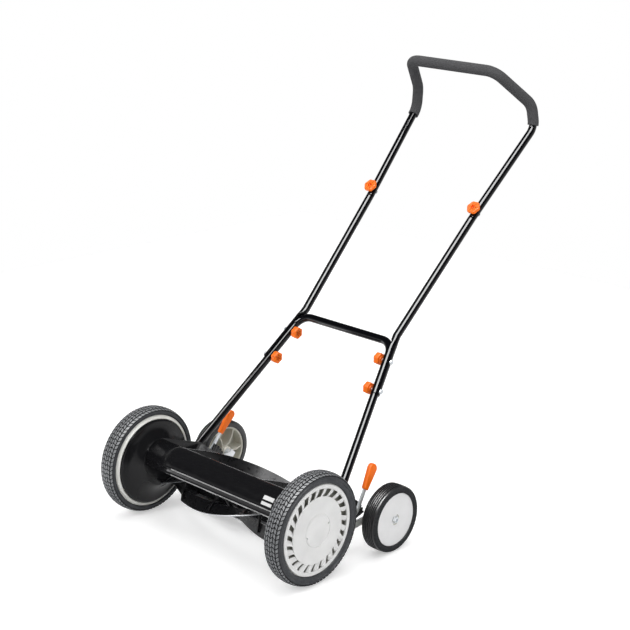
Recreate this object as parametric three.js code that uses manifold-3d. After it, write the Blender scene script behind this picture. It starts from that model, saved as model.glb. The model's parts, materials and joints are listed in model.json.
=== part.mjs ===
// A push reel mower with a 16 inch cut: two geared front wheels drive a five-bladed helical reel
// over a fixed bed knife, two small rear wheels on height levers set the cut, and a three-part
// tube handle with clamp knobs pushes it.
//
// Millimetres. +X is the operator's left, +Y runs back to the handle, +Z is up.
// While it is drawn, Y = 0 is the front axle and Z = 0 the ground. Stations marked "out" are
// distances from the mid plane, so each side piece is drawn once, on +X, and mirrored for -X.
import * as THREE from 'three';
import { mergeVertices } from 'three/addons/utils/BufferGeometryUtils.js';
import Module from 'manifold-3d';

const wasm = await Module();
wasm.setup();

// ---------------------------------------------------------------- driving dimensions
const SEAT = 0.3; // clearance where one piece seats on another
const RUN = 1.2; // clearance beside what turns

const frontTyre = { r: 127, section: 23.2, width: 43.4, bead: 7.6, shoulder: 6.5, segments: 20 };
const rearTyre = { r: 78, section: 15.6, width: 38.5, ribs: 3, ribDepth: 1.6, segments: 16 };
const gear = { inset: 16.3, ringTeeth: 40, pinionTeeth: 8, width: 18, backlash: 1.1 };
const reel = { r: 75, cut: 406, blades: 5, bladeDepth: 25, bladeT: 2.6, twistDeg: -118, startDeg: 260.5 };
const reelDrop = 30.5; // reel axis below the wheel axle
const shaftR = 8;
const spiderCount = 4;
const spiderT = 3;
const spiderInset = 12; // outer spiders, in from the ends of the blades

const plate = { t: 3.5, endGap: 4, reelR: 40, toeR: 9, heelR: 8, rearR: 17 };
const fromAxle = { boss: 23, ear: 6, leverPivot: -59 }; // heights above the front axle
const boss = { y: -12, z: frontTyre.r + fromAxle.boss, r: 46 }; // round front lobe of the side plate
const earInset = 9; // the handle pivot clears the dust cover's rim, inside the tread line
const ear = { y: frontTyre.r - earInset, z: frontTyre.r + fromAxle.ear, r: 18 };
const leverPivot = { y: 150, z: frontTyre.r + fromAxle.leverPivot, r: 14 };
const upperBoss = { forward: 16, up: 28, r: 10 }; // of the height bracket, from the lever's pivot
const dish = { inset: 3, depth: 32.2, t: 1.6, hub: 50.8, cone: 38.8 }; // inward from the tyre's bore
const wheel = { webBack: 28, webT: 3.5, depth: 39, rim: 4.5, coverT: 3, domeInset: 64.2 };
const axleR = 8;
const stubR = 16; // root of the stub axle, and the hub that turns on it
const boltR = 4;
const clampBoltR = 3;
const nutR = 7.5;

const coverR = 45; // front cover, an arc about the boss centre
const coverT = 1.8;
const tieR = 12;
const knife = { t: 4, width: 34, gap: 0.6, leadDeg: 282 };
const cutter = { t: 3.5, rise: 16 }; // the angle that carries the knife

const rearAxle = { back: 248, r: 6 };
const leverStation = 236; // inner face of the lever, out from the mid plane
const leverT = 4;
const leverHandle = { length: 66, past: 4.3, footR: 8, topR: 11.5, t: 13 };

const tubeR = 9.5;
const tubeWall = 1.4;
const tubeSides = 8;
const boreSides = 6;
const foamR = 13.8;
const legFoot = new THREE.Vector3(227.4, ear.y, ear.z);
const crossbar = { x: 143.5, y: 391, z: 427.5, bend: 38 };
const kneeBack = 402.5; // where the middle tubes bend, measured along Y
const socket = new THREE.Vector3(159.7, 643.4, 685.6); // foot of the upper tube
const gripFoot = new THREE.Vector3(182.6, 839.2, 885.3);
const gripShoulder = new THREE.Vector3(175.5, 833, 940);
const gripCorner = new THREE.Vector3(128.5, 740.6, 1020.8);
const clampBacks = [359, 308]; // the two clamp bolts of each leg, measured along Y
const saddleEndBack = 301;
const spigotLength = 60;
const knob = { r: 14.5, lobe: 1.4, lobes: 6, length: 14, hubR: 8, hubLength: 3 };

// ---------------------------------------------------------------- derived places
const axleZ = frontTyre.r;
const wheelR = frontTyre.r - frontTyre.section; // bore of the tyre, on the wheel
const rearWheelR = rearTyre.r - rearTyre.section;
const reelHalf = reel.cut / 2;
const ringR = wheelR - gear.inset;
const gearModule = (2 * ringR) / gear.ringTeeth;
const pinionR = (gearModule * gear.pinionTeeth) / 2;
const dishR = wheelR - dish.inset;
const shaftOffset = ringR - pinionR;
const reelAxis = { y: Math.sqrt(shaftOffset ** 2 - reelDrop ** 2), z: axleZ - reelDrop };
const meshAngle = Math.atan2(reelAxis.z - axleZ, reelAxis.y);
const plateIn = reelHalf + plate.endGap;
const plateOut = plateIn + plate.t;
const dishOut = plateOut + SEAT + dish.depth;
const wheelIn = dishOut - 1; // the wheel's flange laps the rim of the dish
const tyreIn = wheelIn + 2.2;
const webIn = wheelIn + wheel.webBack;
const rimOut = wheelIn + wheel.depth;
const coverOut = rimOut + SEAT + wheel.coverT + 0.7;
const rearZ = rearTyre.r;

// ---------------------------------------------------------------- materials
const finish = (color, roughness, metalness) =>
  new THREE.MeshStandardMaterial({ color, roughness, metalness });
const blackPaint = finish(0x0c0c0d, 0.22, 0);
const blackTube = finish(0x0b0b0c, 0.18, 0);
const bladePaint = finish(0x141415, 0.35, 0.2);
const tyreRubber = finish(0x3a3b3e, 0.8, 0);
const greyPlastic = finish(0xdcdcdc, 0.5, 0);
const creamPlastic = finish(0xbdbbac, 0.55, 0);
const orangePlastic = finish(0xff6a1c, 0.45, 0);
const foam = finish(0x4a4a4d, 0.95, 0);
const zinc = finish(0xb9bcc0, 0.35, 1);
const steel = finish(0x8d9196, 0.4, 1);

// ---------------------------------------------------------------- solids
// Keeps positions only, welds shared vertices, drops slivers with no area, and turns the faces out.
function closed(geometry) {
  const bare = geometry.clone();
  for (const name of Object.keys(bare.attributes)) {
    if (name !== 'position') bare.deleteAttribute(name);
  }
  const welded = mergeVertices(bare, 1e-4);
  const index = welded.index.array;
  const faces = [];
  for (let i = 0; i < index.length; i += 3) {
    const [a, b, c] = [index[i], index[i + 1], index[i + 2]];
    if (a !== b && b !== c && c !== a) faces.push(a, b, c);
  }
  welded.setIndex(faces);
  return volume(welded) < 0 ? turnedOver(welded) : welded;
}

function volume(geometry) {
  const at = geometry.attributes.position;
  const index = geometry.index.array;
  const [a, b, c] = [new THREE.Vector3(), new THREE.Vector3(), new THREE.Vector3()];
  let sum = 0;
  for (let i = 0; i < index.length; i += 3) {
    a.fromBufferAttribute(at, index[i]);
    b.fromBufferAttribute(at, index[i + 1]);
    c.fromBufferAttribute(at, index[i + 2]);
    sum += a.dot(b.cross(c)) / 6;
  }
  return sum;
}

function turnedOver(geometry) {
  const index = Array.from(geometry.index.array);
  for (let i = 0; i < index.length; i += 3) {
    [index[i + 1], index[i + 2]] = [index[i + 2], index[i + 1]];
  }
  geometry.setIndex(index);
  return geometry;
}

function toManifold(geometry) {
  const solid = closed(geometry);
  const vertProperties = new Float32Array(solid.attributes.position.array);
  const triVerts = new Uint32Array(solid.index.array);
  return new wasm.Manifold(new wasm.Mesh({ numProp: 3, vertProperties, triVerts }));
}

function toGeometry(manifold) {
  const mesh = manifold.getMesh();
  const geometry = new THREE.BufferGeometry();
  geometry.setAttribute('position', new THREE.BufferAttribute(mesh.vertProperties, 3));
  geometry.setIndex(Array.from(mesh.triVerts));
  return geometry;
}

const join = (first, ...others) =>
  toGeometry(others.reduce((sum, other) => sum.add(toManifold(other)), toManifold(first)));
const cut = (body, ...tools) =>
  toGeometry(tools.reduce((rest, tool) => rest.subtract(toManifold(tool)), toManifold(body)));

// ---------------------------------------------------------------- drawing helpers
const degrees = THREE.MathUtils.degToRad;
const point2 = (u, v) => new THREE.Vector2(u, v);

// A flat shape in Y and Z, thickened from one station to another.
const drawnInYZ = new THREE.Matrix4().makeBasis(
  new THREE.Vector3(0, 1, 0),
  new THREE.Vector3(0, 0, 1),
  new THREE.Vector3(1, 0, 0),
);
function sheet(shape, from, to, { curveSegments = 10, steps = 1, bevel = 0 } = {}) {
  const geometry = new THREE.ExtrudeGeometry(shape, {
    depth: to - from - 2 * bevel,
    steps,
    curveSegments,
    bevelEnabled: bevel > 0,
    bevelThickness: bevel,
    bevelSize: bevel,
    bevelOffset: -bevel,
    bevelSegments: 1,
  });
  return geometry.applyMatrix4(drawnInYZ).translate(from + bevel, 0, 0);
}

// A profile of [radius, station] pairs, turned about an X axis through (y, z).
function turned(profile, y, z, segments) {
  const points = profile.map(([radius, station]) => point2(radius, station));
  return new THREE.LatheGeometry(points, segments).rotateZ(-Math.PI / 2).translate(0, y, z);
}

const ring = (profile) => [...profile, profile[0]];
const pin = (radius, from, to, y, z, segments = 16) =>
  turned([[0, from], [radius, from], [radius, to], [0, to]], y, z, segments);

// The tool for a hole that clears a round piece of the given radius by the seating clearance.
const holeFor = (radius, from, to, y, z, sides = 6) =>
  pin((radius + SEAT) / Math.cos(Math.PI / sides), from, to, y, z, sides);

// The rounded outline round a few circles { y, z, r }.
function around(circles, pointsEach = 8) {
  const rim = circles.flatMap(({ y, z, r }) =>
    Array.from({ length: pointsEach }, (_, i) => {
      const angle = (2 * Math.PI * i) / pointsEach;
      return point2(y + r * Math.cos(angle), z + r * Math.sin(angle));
    }),
  );
  rim.sort((a, b) => a.x - b.x || a.y - b.y);
  const side = (points) => {
    const chain = [];
    for (const p of points) {
      while (chain.length > 1 && turnsLeft(chain.at(-2), chain.at(-1), p) <= 1e-9) chain.pop();
      chain.push(p);
    }
    return chain.slice(0, -1);
  };
  return new THREE.Shape([...side(rim), ...side(rim.reverse())]);
}
const turnsLeft = (a, b, c) => (b.x - a.x) * (c.y - a.y) - (b.y - a.y) * (c.x - a.x);

// A run of straight tubes with a bend of the given radius at each inner corner.
class BentPath extends THREE.Curve {
  constructor(corners, radii, stepDeg = 36) {
    super();
    this.stations = [];
    const toward = (a, b) => b.clone().sub(a).normalize();
    const last = corners.length - 1;
    this.stations.push({ at: corners[0], along: toward(corners[0], corners[1]) });
    for (let i = 1; i < last; i++) {
      const into = toward(corners[i - 1], corners[i]);
      const outOf = toward(corners[i], corners[i + 1]);
      const turn = into.angleTo(outOf);
      const reach = radii[i - 1] * Math.tan(turn / 2);
      const inward = outOf.clone().sub(into).normalize();
      const centre = corners[i].clone().addScaledVector(inward, radii[i - 1] / Math.cos(turn / 2));
      const axis = into.clone().cross(outOf).normalize();
      const start = corners[i].clone().addScaledVector(into, -reach).sub(centre);
      const count = Math.max(2, Math.ceil(turn / degrees(stepDeg)));
      for (let k = 0; k <= count; k++) {
        const angle = (turn * k) / count;
        this.stations.push({
          at: start.clone().applyAxisAngle(axis, angle).add(centre),
          along: into.clone().applyAxisAngle(axis, angle),
        });
      }
    }
    this.stations.push({ at: corners[last], along: toward(corners[last - 1], corners[last]) });
  }
  station(t) {
    return this.stations[Math.round(t * (this.stations.length - 1))];
  }
  getPoint(t) {
    return this.station(t).at.clone();
  }
  getTangent(t) {
    return this.station(t).along.clone();
  }
  getUtoTmapping(u) {
    return u;
  }
}

function circlePoints(radius, count) {
  return Array.from({ length: count }, (_, i) => {
    const angle = (2 * Math.PI * i) / count;
    return point2(radius * Math.cos(angle), radius * Math.sin(angle));
  });
}

const swept = (section, path) =>
  new THREE.ExtrudeGeometry(section, { extrudePath: path, steps: path.stations.length - 1 });

const rodAlong = (path, radius, sides) => swept(new THREE.Shape(circlePoints(radius, sides)), path);

// An open-ended tube, or a sleeve, along a bent path.
function tube(path, outerR, innerR, sides = tubeSides, innerSides = boreSides) {
  const section = new THREE.Shape(circlePoints(outerR, sides));
  section.holes.push(new THREE.Path(circlePoints(innerR, innerSides)));
  return swept(section, path);
}

const mirrored = (point) => new THREE.Vector3(-point.x, point.y, point.z);

// A turned pin between two points, for bolts that don't lie along X.
function pinBetween(profile, from, to, segments = 12) {
  const points = profile.map(([radius, along]) => point2(radius, along));
  const direction = to.clone().sub(from).normalize();
  const turn = new THREE.Quaternion().setFromUnitVectors(new THREE.Vector3(0, 1, 0), direction);
  return new THREE.LatheGeometry(points, segments)
    .applyQuaternion(turn)
    .translate(from.x, from.y, from.z);
}

// ---------------------------------------------------------------- the assembly
const mower = new THREE.Group();
function place(name, geometry, material, side = 1) {
  const mesh = new THREE.Mesh(closed(geometry), material);
  mesh.name = name;
  mesh.scale.x = side;
  mower.add(mesh);
}
// The same piece on both sides: the operator's left as drawn, the right mirrored.
function placePair(name, geometry, material) {
  place(`left_${name}`, geometry, material, 1);
  place(`right_${name}`, geometry, material, -1);
}

// ---------------------------------------------------------------- side plates and what they carry
function sidePlate() {
  const { toeR, heelR } = plate;
  const below = knifeEdge.z - knife.t;
  const reelLobe = { ...reelAxis, r: plate.reelR };
  const knifeToe = { y: knifeEdge.y + toeR / 2, z: below - toeR / 2, r: toeR };
  const knifeHeel = { y: knifeEdge.y + knife.width + heelR / 2, z: below - heelR / 2, r: heelR };
  const rearLobe = { ...leverPivot, r: plate.rearR };
  const front = sheet(around([boss, reelLobe, ear], 14), plateIn, plateOut);
  const foot = sheet(around([reelLobe, knifeToe, knifeHeel]), plateIn, plateOut);
  const rear = sheet(around([knifeHeel, rearLobe, ear]), plateIn, plateOut);
  const stub = turned(
    [[0, plateOut - 1], [stubR, plateOut - 1], [stubR, plateOut + 3.5], [axleR, plateOut + 3.5],
      [axleR, rimOut - 3], [axleR - 1, rimOut - 2], [0, rimOut - 2]],
    0, axleZ, 12,
  );
  const bearingHole = holeFor(bearing.bodyR, plateIn - 1, plateOut + 1, reelAxis.y, reelAxis.z, 10);
  const pivotHole = holeFor(boltR, plateIn - 1, plateOut + 1, ear.y, ear.z);
  const leverHole = holeFor(boltR, plateIn - 1, plateOut + 1, leverPivot.y, leverPivot.z);
  return cut(join(front, foot, rear, stub), bearingHole, pivotHole, leverHole);
}

const bearing = { bodyR: 16, flangeR: 21, flangeT: 2.2 };
const edgeAngle = degrees(knife.leadDeg);
const knifeEdge = {
  y: reelAxis.y + (reel.r + knife.gap) * Math.cos(edgeAngle),
  z: reelAxis.z + (reel.r + knife.gap) * Math.sin(edgeAngle),
};

function reelBearing() {
  const inner = plateIn - SEAT - bearing.flangeT;
  const sides = 10;
  const bore = (shaftR + SEAT) / Math.cos(Math.PI / sides);
  const profile = ring([
    [bore, inner], [bearing.flangeR, inner], [bearing.flangeR, plateIn - SEAT],
    [bearing.bodyR, plateIn - SEAT], [bearing.bodyR, plateOut], [bore, plateOut],
  ]);
  return turned(profile, reelAxis.y, reelAxis.z, sides);
}

// The dished dust cover that closes the wheel's gear from the inside.
function dustCover() {
  const inner = plateOut + SEAT;
  const shelf = dishOut - 3;
  const { t } = dish;
  const hubR = dishR - dish.hub;
  const coneR = dishR - dish.cone;
  const profile = ring([
    [stubR + 1, inner], [hubR, inner], [coneR, shelf - t], [dishR - 3, shelf - t],
    [dishR, shelf], [dishR, dishOut], [dishR - t, dishOut], [dishR - 3 - t, shelf],
    [coneR - t, shelf], [hubR - t, inner + t], [stubR + 1, inner + t],
  ]);
  const shaftHole = pin(shaftR + RUN, inner + 1, dishOut + 1, reelAxis.y, reelAxis.z, 12);
  return cut(turned(profile, 0, axleZ, frontTyre.segments), shaftHole);
}

// The front cover: a curved sheet with a hemmed top edge and a rolled bead along its lower edge.
function frontCover() {
  const from = degrees(80);
  const to = degrees(176);
  const bead = 6.5;
  const rolled = { y: boss.y - coverR + 0.9 * bead, z: boss.z - 1, r: bead };
  const skin = new THREE.Shape();
  skin.absarc(boss.y, boss.z, coverR, from, to, false);
  skin.absarc(boss.y, boss.z, coverR - coverT, to, from, true);
  const hemAngle = from;
  const hem = {
    y: boss.y + (coverR - 1.6) * Math.cos(hemAngle),
    z: boss.z + (coverR - 1.6) * Math.sin(hemAngle),
    r: 1.9,
  };
  const span = [-(plateIn - SEAT), plateIn - SEAT];
  return join(
    sheet(skin, ...span, { curveSegments: 12 }),
    sheet(around([rolled], 12), ...span),
    sheet(around([hem], 8), ...span),
  );
}

const tieTube = () => turned(
  ring([[tieR - 2, -(plateIn - SEAT)], [tieR, -(plateIn - SEAT)],
    [tieR, plateIn - SEAT], [tieR - 2, plateIn - SEAT]]),
  boss.y, boss.z, 12,
);

// The bed knife lies on the cutter bar, an angle with its heel turned up behind it.
function bedKnife() {
  const shape = new THREE.Shape([
    point2(knifeEdge.y, knifeEdge.z - 0.8),
    point2(knifeEdge.y + 2.5, knifeEdge.z - knife.t),
    point2(knifeEdge.y + knife.width, knifeEdge.z - knife.t),
    point2(knifeEdge.y + knife.width, knifeEdge.z - 0.6),
    point2(knifeEdge.y + 9, knifeEdge.z - 0.6),
    point2(knifeEdge.y, knifeEdge.z),
  ]);
  return sheet(shape, -(plateIn - SEAT), plateIn - SEAT);
}

function cutterBar() {
  const top = knifeEdge.z - knife.t - SEAT;
  const heel = knifeEdge.y + knife.width + SEAT;
  const { t, rise } = cutter;
  const shape = new THREE.Shape([
    point2(knifeEdge.y + 6, top),
    point2(knifeEdge.y + 8, top - t),
    point2(heel + t, top - t),
    point2(heel + t, top + rise),
    point2(heel, top + rise),
    point2(heel, top),
  ]);
  return sheet(shape, -(plateIn - SEAT), plateIn - SEAT);
}

// Height bracket: a notched quadrant stood off the side plate on two bosses.
function heightBracket() {
  const faceIn = leverStation - 10;
  const faceOut = faceIn + 3.5;
  const second = {
    y: leverPivot.y - upperBoss.forward,
    z: leverPivot.z + upperBoss.up,
    r: upperBoss.r,
  };
  const web = sheet(around([{ ...leverPivot, r: 14 }, second]), faceIn, faceOut);
  const quadrant = new THREE.Shape();
  const reach = { in: 9, out: 66, from: degrees(16), to: degrees(62) };
  const notches = 5;
  quadrant.absarc(leverPivot.y, leverPivot.z, reach.in, reach.to, reach.from, true);
  for (let i = 0; i < notches; i++) {
    const pitch = (reach.to - reach.from) / notches;
    const at = (r, share) => {
      const angle = reach.from + pitch * (i + share);
      return [leverPivot.y + r * Math.cos(angle), leverPivot.z + r * Math.sin(angle)];
    };
    quadrant.lineTo(...at(reach.out, 0));
    quadrant.lineTo(...at(reach.out, 0.35));
    quadrant.lineTo(...at(reach.out - 5, 0.45));
    quadrant.lineTo(...at(reach.out - 5, 0.75));
    quadrant.lineTo(...at(reach.out, 0.85));
  }
  quadrant.lineTo(
    leverPivot.y + reach.out * Math.cos(reach.to),
    leverPivot.z + reach.out * Math.sin(reach.to),
  );
  const arc = sheet(quadrant, faceIn, faceOut, { curveSegments: 6 });
  const pivotBoss = pin(9, plateOut + SEAT, leverStation - SEAT, leverPivot.y, leverPivot.z, 10);
  const secondBoss = pin(8, plateOut + SEAT, faceIn + 1, second.y, second.z, 8);
  const bore = holeFor(boltR, plateOut - 1, leverStation + 1, leverPivot.y, leverPivot.z);
  return cut(join(web, arc, pivotBoss, secondBoss), bore);
}

// A hex-headed bolt along X with a nut on its outer end; "spacer" is a shoulder on the shank.
function throughBolt(y, z, nutFrom, nutTo, spacer) {
  const headT = plate.endGap - SEAT - RUN; // the reel's blades pass beside it
  const head = pin(nutR, plateIn - SEAT - headT, plateIn - SEAT, y, z, 6);
  const shank = pin(boltR, plateIn - SEAT - 1, nutTo - 1, y, z, 8);
  const nut = pin(nutR, nutFrom, nutTo, y, z, 6);
  const pieces = [head, shank, nut];
  if (spacer) pieces.push(pin(boltR * 2, spacer[0], spacer[1], y, z, 12));
  return join(...pieces);
}

// ---------------------------------------------------------------- the reel
const twistPerMm = degrees(reel.twistDeg) / reel.cut;

// Turns each point about the reel's own axis in step with its station, so that what is drawn
// straight follows the helix.
function twisted(geometry) {
  const at = geometry.attributes.position;
  for (let i = 0; i < at.count; i++) {
    const angle = degrees(reel.startDeg) + twistPerMm * (at.getX(i) + reelHalf);
    const [y, z] = [at.getY(i), at.getZ(i)];
    at.setY(i, y * Math.cos(angle) - z * Math.sin(angle));
    at.setZ(i, y * Math.sin(angle) + z * Math.cos(angle));
  }
  return geometry.translate(0, reelAxis.y, reelAxis.z);
}

const rotated = (geometry, index) =>
  geometry.rotateX((2 * Math.PI * index) / reel.blades);

// A blade stands on its arms, with its ground edge on the swept circle.
function blade(index) {
  const root = reel.r - reel.bladeDepth;
  const half = reel.bladeT / 2;
  const section = new THREE.Shape([
    point2(root, -half),
    point2(reel.r - 3, -half),
    point2(Math.sqrt(reel.r ** 2 - half ** 2), half - 0.9),
    point2(Math.sqrt(reel.r ** 2 - half ** 2), half),
    point2(root, half),
  ]);
  const strip = sheet(section, -reelHalf, reelHalf, { steps: 14 });
  return twisted(rotated(strip, index));
}

// A spider: hub and five arms that reach along the backs of the blades.
function spider(station) {
  const hubR = shaftR + 7;
  const from = station - spiderT / 2;
  const to = station + spiderT / 2;
  const backOff = reel.bladeT / 2 + SEAT + 0.17; // a twisted blade bows towards its arm
  const arm = new THREE.Shape([
    point2(hubR - 3, -backOff - 11),
    point2(reel.r - 9, -backOff - 5),
    point2(reel.r - 9, -backOff),
    point2(hubR - 3, -backOff),
  ]);
  const arms = Array.from({ length: reel.blades }, (_, i) => rotated(sheet(arm, from, to), i));
  const hub = pin(hubR, from - 4, to + 4, 0, 0, 10);
  const bore = holeFor(shaftR, from - 6, to + 6, 0, 0, 10);
  return twisted(cut(join(hub, ...arms), bore));
}

const gearFace = { from: webIn - 2 - gear.width, to: webIn - 2 };

function reelShaft() {
  const end = gearFace.to + 0.8;
  const flat = [
    [0, -end], [shaftR - 1, -end], [shaftR, 1 - end], [shaftR, end - 1], [shaftR - 1, end], [0, end],
  ];
  return turned(flat, reelAxis.y, reelAxis.z, 12);
}

// Tooth outlines as points on the pitch circle: a tooth of the given root, tip and half thickness.
function toothedCircle(teeth, rootR, tipR, phase, halfAtRoot, halfAtTip) {
  const points = [];
  for (let i = 0; i < teeth; i++) {
    const centre = phase + (2 * Math.PI * i) / teeth;
    const corner = (r, half) => {
      const angle = centre + half / r;
      points.push(point2(r * Math.cos(angle), r * Math.sin(angle)));
    };
    corner(rootR, -halfAtRoot);
    corner(tipR, -halfAtTip);
    corner(tipR, halfAtTip);
    corner(rootR, halfAtRoot);
  }
  return points;
}
const toothPitch = Math.PI * gearModule;
const rootHalf = toothPitch * 0.32 - gear.backlash / 2;
const tipHalf = toothPitch * 0.16 - gear.backlash / 4;

// The pinion sits on the shaft with a tooth gap facing the ring tooth on the line of centres.
function pinion() {
  const gapPhase = meshAngle + Math.PI / gear.pinionTeeth;
  const outline = toothedCircle(
    gear.pinionTeeth, pinionR - 1.15 * gearModule, pinionR + 0.72 * gearModule,
    gapPhase, rootHalf, tipHalf,
  );
  const body = sheet(new THREE.Shape(outline), gearFace.from, gearFace.to);
  const collar = pin(pinionR - 1.3 * gearModule, gearFace.from - 5, gearFace.from + 1, 0, 0, 10);
  const bore = holeFor(shaftR, gearFace.from - 6, gearFace.to + 1, 0, 0, 10);
  return cut(join(body, collar), bore).translate(0, reelAxis.y, reelAxis.z);
}

// ---------------------------------------------------------------- front wheels
// One moulding: hub, web, rim with the tyre's seat and inner flange, and the internal ring gear.
function frontWheel() {
  const gearRootR = ringR + 1.1 * gearModule;
  const gearWallR = gearRootR + 2;
  const seatR = wheelR - SEAT;
  const flangeR = wheelR + frontTyre.bead - 0.9;
  const webOut = webIn + wheel.webT;
  const bore = (axleR + SEAT) / Math.cos(Math.PI / frontTyre.segments);
  const body = turned(
    ring([
      [bore, wheelIn + 4], [stubR, wheelIn + 4], [stubR, webIn], [gearWallR, webIn],
      [gearWallR, wheelIn + 8], [dishR + 1.7, wheelIn + 3], [dishR + 1.7, wheelIn],
      [flangeR, wheelIn + 6], [seatR, wheelIn + 8.5], [seatR, rimOut],
      [seatR - wheel.rim, rimOut], [seatR - wheel.rim, webOut], [stubR, webOut], [stubR, rimOut],
      [bore, rimOut],
    ]),
    0, axleZ, frontTyre.segments,
  );
  const rimShape = new THREE.Shape(circlePoints(gearRootR + 3.5, 20));
  const teeth = toothedCircle(
    gear.ringTeeth, gearRootR, ringR - 0.6 * gearModule, meshAngle, rootHalf, tipHalf,
  );
  rimShape.holes.push(new THREE.Path(teeth));
  const ringGear = sheet(rimShape, gearFace.from, webIn + 0.5).translate(0, 0, axleZ);
  return join(body, ringGear);
}

// The outer face of the wheel: a plain disc with a ring of slanted slots and a low hub dome.
function wheelCover() {
  const edgeR = wheelR - 1.6;
  const face = new THREE.Shape(circlePoints(edgeR, frontTyre.segments));
  const slots = 24;
  const slot = { in: edgeR - 21.2, out: edgeR - 6.7, lean: 7, width: 7.5 };
  const domeR = edgeR - wheel.domeInset;
  for (let i = 0; i < slots; i++) {
    const angle = (2 * Math.PI * i) / slots;
    const corner = (r, across) => {
      const a = angle + across / r;
      return point2(r * Math.cos(a), r * Math.sin(a));
    };
    face.holes.push(new THREE.Path([
      corner(slot.in, slot.lean),
      corner(slot.out - 1, slot.width / 2),
      corner(slot.out, -slot.width / 2),
      corner(slot.out - 5, -slot.width / 2),
    ]));
  }
  const disc = sheet(face, rimOut + SEAT, rimOut + SEAT + wheel.coverT);
  const dome = turned(
    [[0, rimOut + 1], [domeR, rimOut + 1], [domeR, coverOut - 0.7], [domeR - 4, coverOut],
      [0, coverOut + 0.4]],
    0, 0, 20,
  );
  return join(disc, dome).translate(0, 0, axleZ);
}

function frontTyreBody() {
  const { r, shoulder, width } = frontTyre;
  const beadR = wheelR + frontTyre.bead;
  const out = tyreIn + width;
  return turned(
    ring([
      [wheelR, wheelIn + 9], [beadR, wheelIn + 8], [beadR + 0.2, tyreIn],
      [r - shoulder, tyreIn + 1], [r - 0.8, tyreIn + shoulder], [r, tyreIn + width / 2],
      [r - 0.8, out - shoulder], [r - shoulder, out - 1],
      [wheelR + 3, out], [wheelR, out - 3],
    ]),
    0, axleZ, frontTyre.segments,
  );
}

// ---------------------------------------------------------------- rear wheels and height levers
const rearIn = leverStation + leverT + 17.4; // inner side of the rear tyre
const rearOut = rearIn + rearTyre.width;
const rearHubIn = rearIn - 6;
const rearFace = rearOut - 3;

function rearTyreBody() {
  const { r, ribs, ribDepth, width, segments } = rearTyre;
  const edge = 4;
  const profile = [[rearWheelR, rearIn], [r - edge, rearIn]];
  const pitch = (width - 4) / ribs;
  for (let i = 0; i < ribs; i++) {
    const start = rearIn + 2 + pitch * i;
    profile.push([r, start + 0.15 * pitch], [r, start + 0.8 * pitch]);
    if (i < ribs - 1) profile.push([r - ribDepth, start + pitch]);
  }
  profile.push([r - edge, rearOut], [rearWheelR, rearOut]);
  return turned(ring(profile), rearAxle.back, rearZ, segments);
}

function rearWheel() {
  const seatR = rearWheelR - SEAT;
  const bore = (rearAxle.r + SEAT) / Math.cos(Math.PI / rearTyre.segments);
  const hubR = 14;
  const webIn = rearFace - 3.5;
  const rimR = seatR - 4;
  const body = turned(
    ring([
      [bore, rearHubIn], [hubR, rearHubIn], [hubR, webIn], [rimR, webIn], [rimR, rearIn + 3],
      [seatR, rearIn + 3], [seatR, rearFace], [bore, rearFace],
    ]),
    0, 0, rearTyre.segments,
  );
  // curved spokes on the open inner side, swept from the hub to the rim
  const spokes = 6;
  const spokeT = 2.6;
  const bend = 46;
  const ribs = Array.from({ length: spokes }, (_, i) => {
    const chord = rimR + 1 - (hubR - 1);
    const rise = bend - Math.sqrt(bend ** 2 - (chord / 2) ** 2);
    const midR = hubR - 1 + chord / 2;
    const half = Math.asin(chord / 2 / bend);
    const arc = new THREE.Shape();
    const down = -Math.PI / 2;
    arc.absarc(midR, bend - rise / 2, bend + spokeT / 2, down - half, down + half, false);
    arc.absarc(midR, bend - rise / 2, bend - spokeT / 2, down + half, down - half, true);
    return sheet(arc, rearIn + 5, webIn + 1, { curveSegments: 2 })
      .rotateX((2 * Math.PI * i) / spokes);
  });
  return join(body, ...ribs).translate(0, rearAxle.back, rearZ);
}

const leverKnee = { y: 184, z: 112, r: 7 };
const leverTip = { y: 232, z: 183, r: 4.5 };
const lean = 0.11; // the arm and its grip lean in towards the mid plane above the knee
const leaned = (geometry) => {
  const at = geometry.attributes.position;
  for (let i = 0; i < at.count; i++) {
    at.setX(i, at.getX(i) - lean * (at.getZ(i) - leverKnee.z));
  }
  return geometry;
};
const leverArm = (grow) => sheet(
  around([{ ...leverKnee, r: leverKnee.r + grow - 1 }, { ...leverTip, r: leverTip.r + grow }], 10),
  leverStation - grow, leverStation + leverT + grow,
);

// The lever plate pivots on the bracket, carries the rear axle and rises to its grip.
function heightLever() {
  const face = [leverStation, leverStation + leverT];
  const axleBoss = { y: rearAxle.back, z: rearZ, r: 13 };
  const foot = sheet(around([{ ...leverPivot, r: 13 }, axleBoss]), ...face);
  const neck = sheet(around([{ ...leverPivot, r: 11 }, leverKnee]), ...face);
  const axle = turned(
    [[0, face[1] - 1], [9.5, face[1] - 1], [9.5, rearHubIn - 0.6], [rearAxle.r, rearHubIn - 0.6],
      [rearAxle.r, rearFace + 1], [0, rearFace + 1]],
    rearAxle.back, rearZ, 12,
  );
  const nut = pin(6.5, rearFace + 0.5, rearFace + 4.5, rearAxle.back, rearZ, 6);
  const bore = holeFor(boltR, face[0] - 1, face[1] + 1, leverPivot.y, leverPivot.z);
  return join(cut(join(foot, neck, axle, nut), bore), leaned(leverArm(0)));
}

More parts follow.
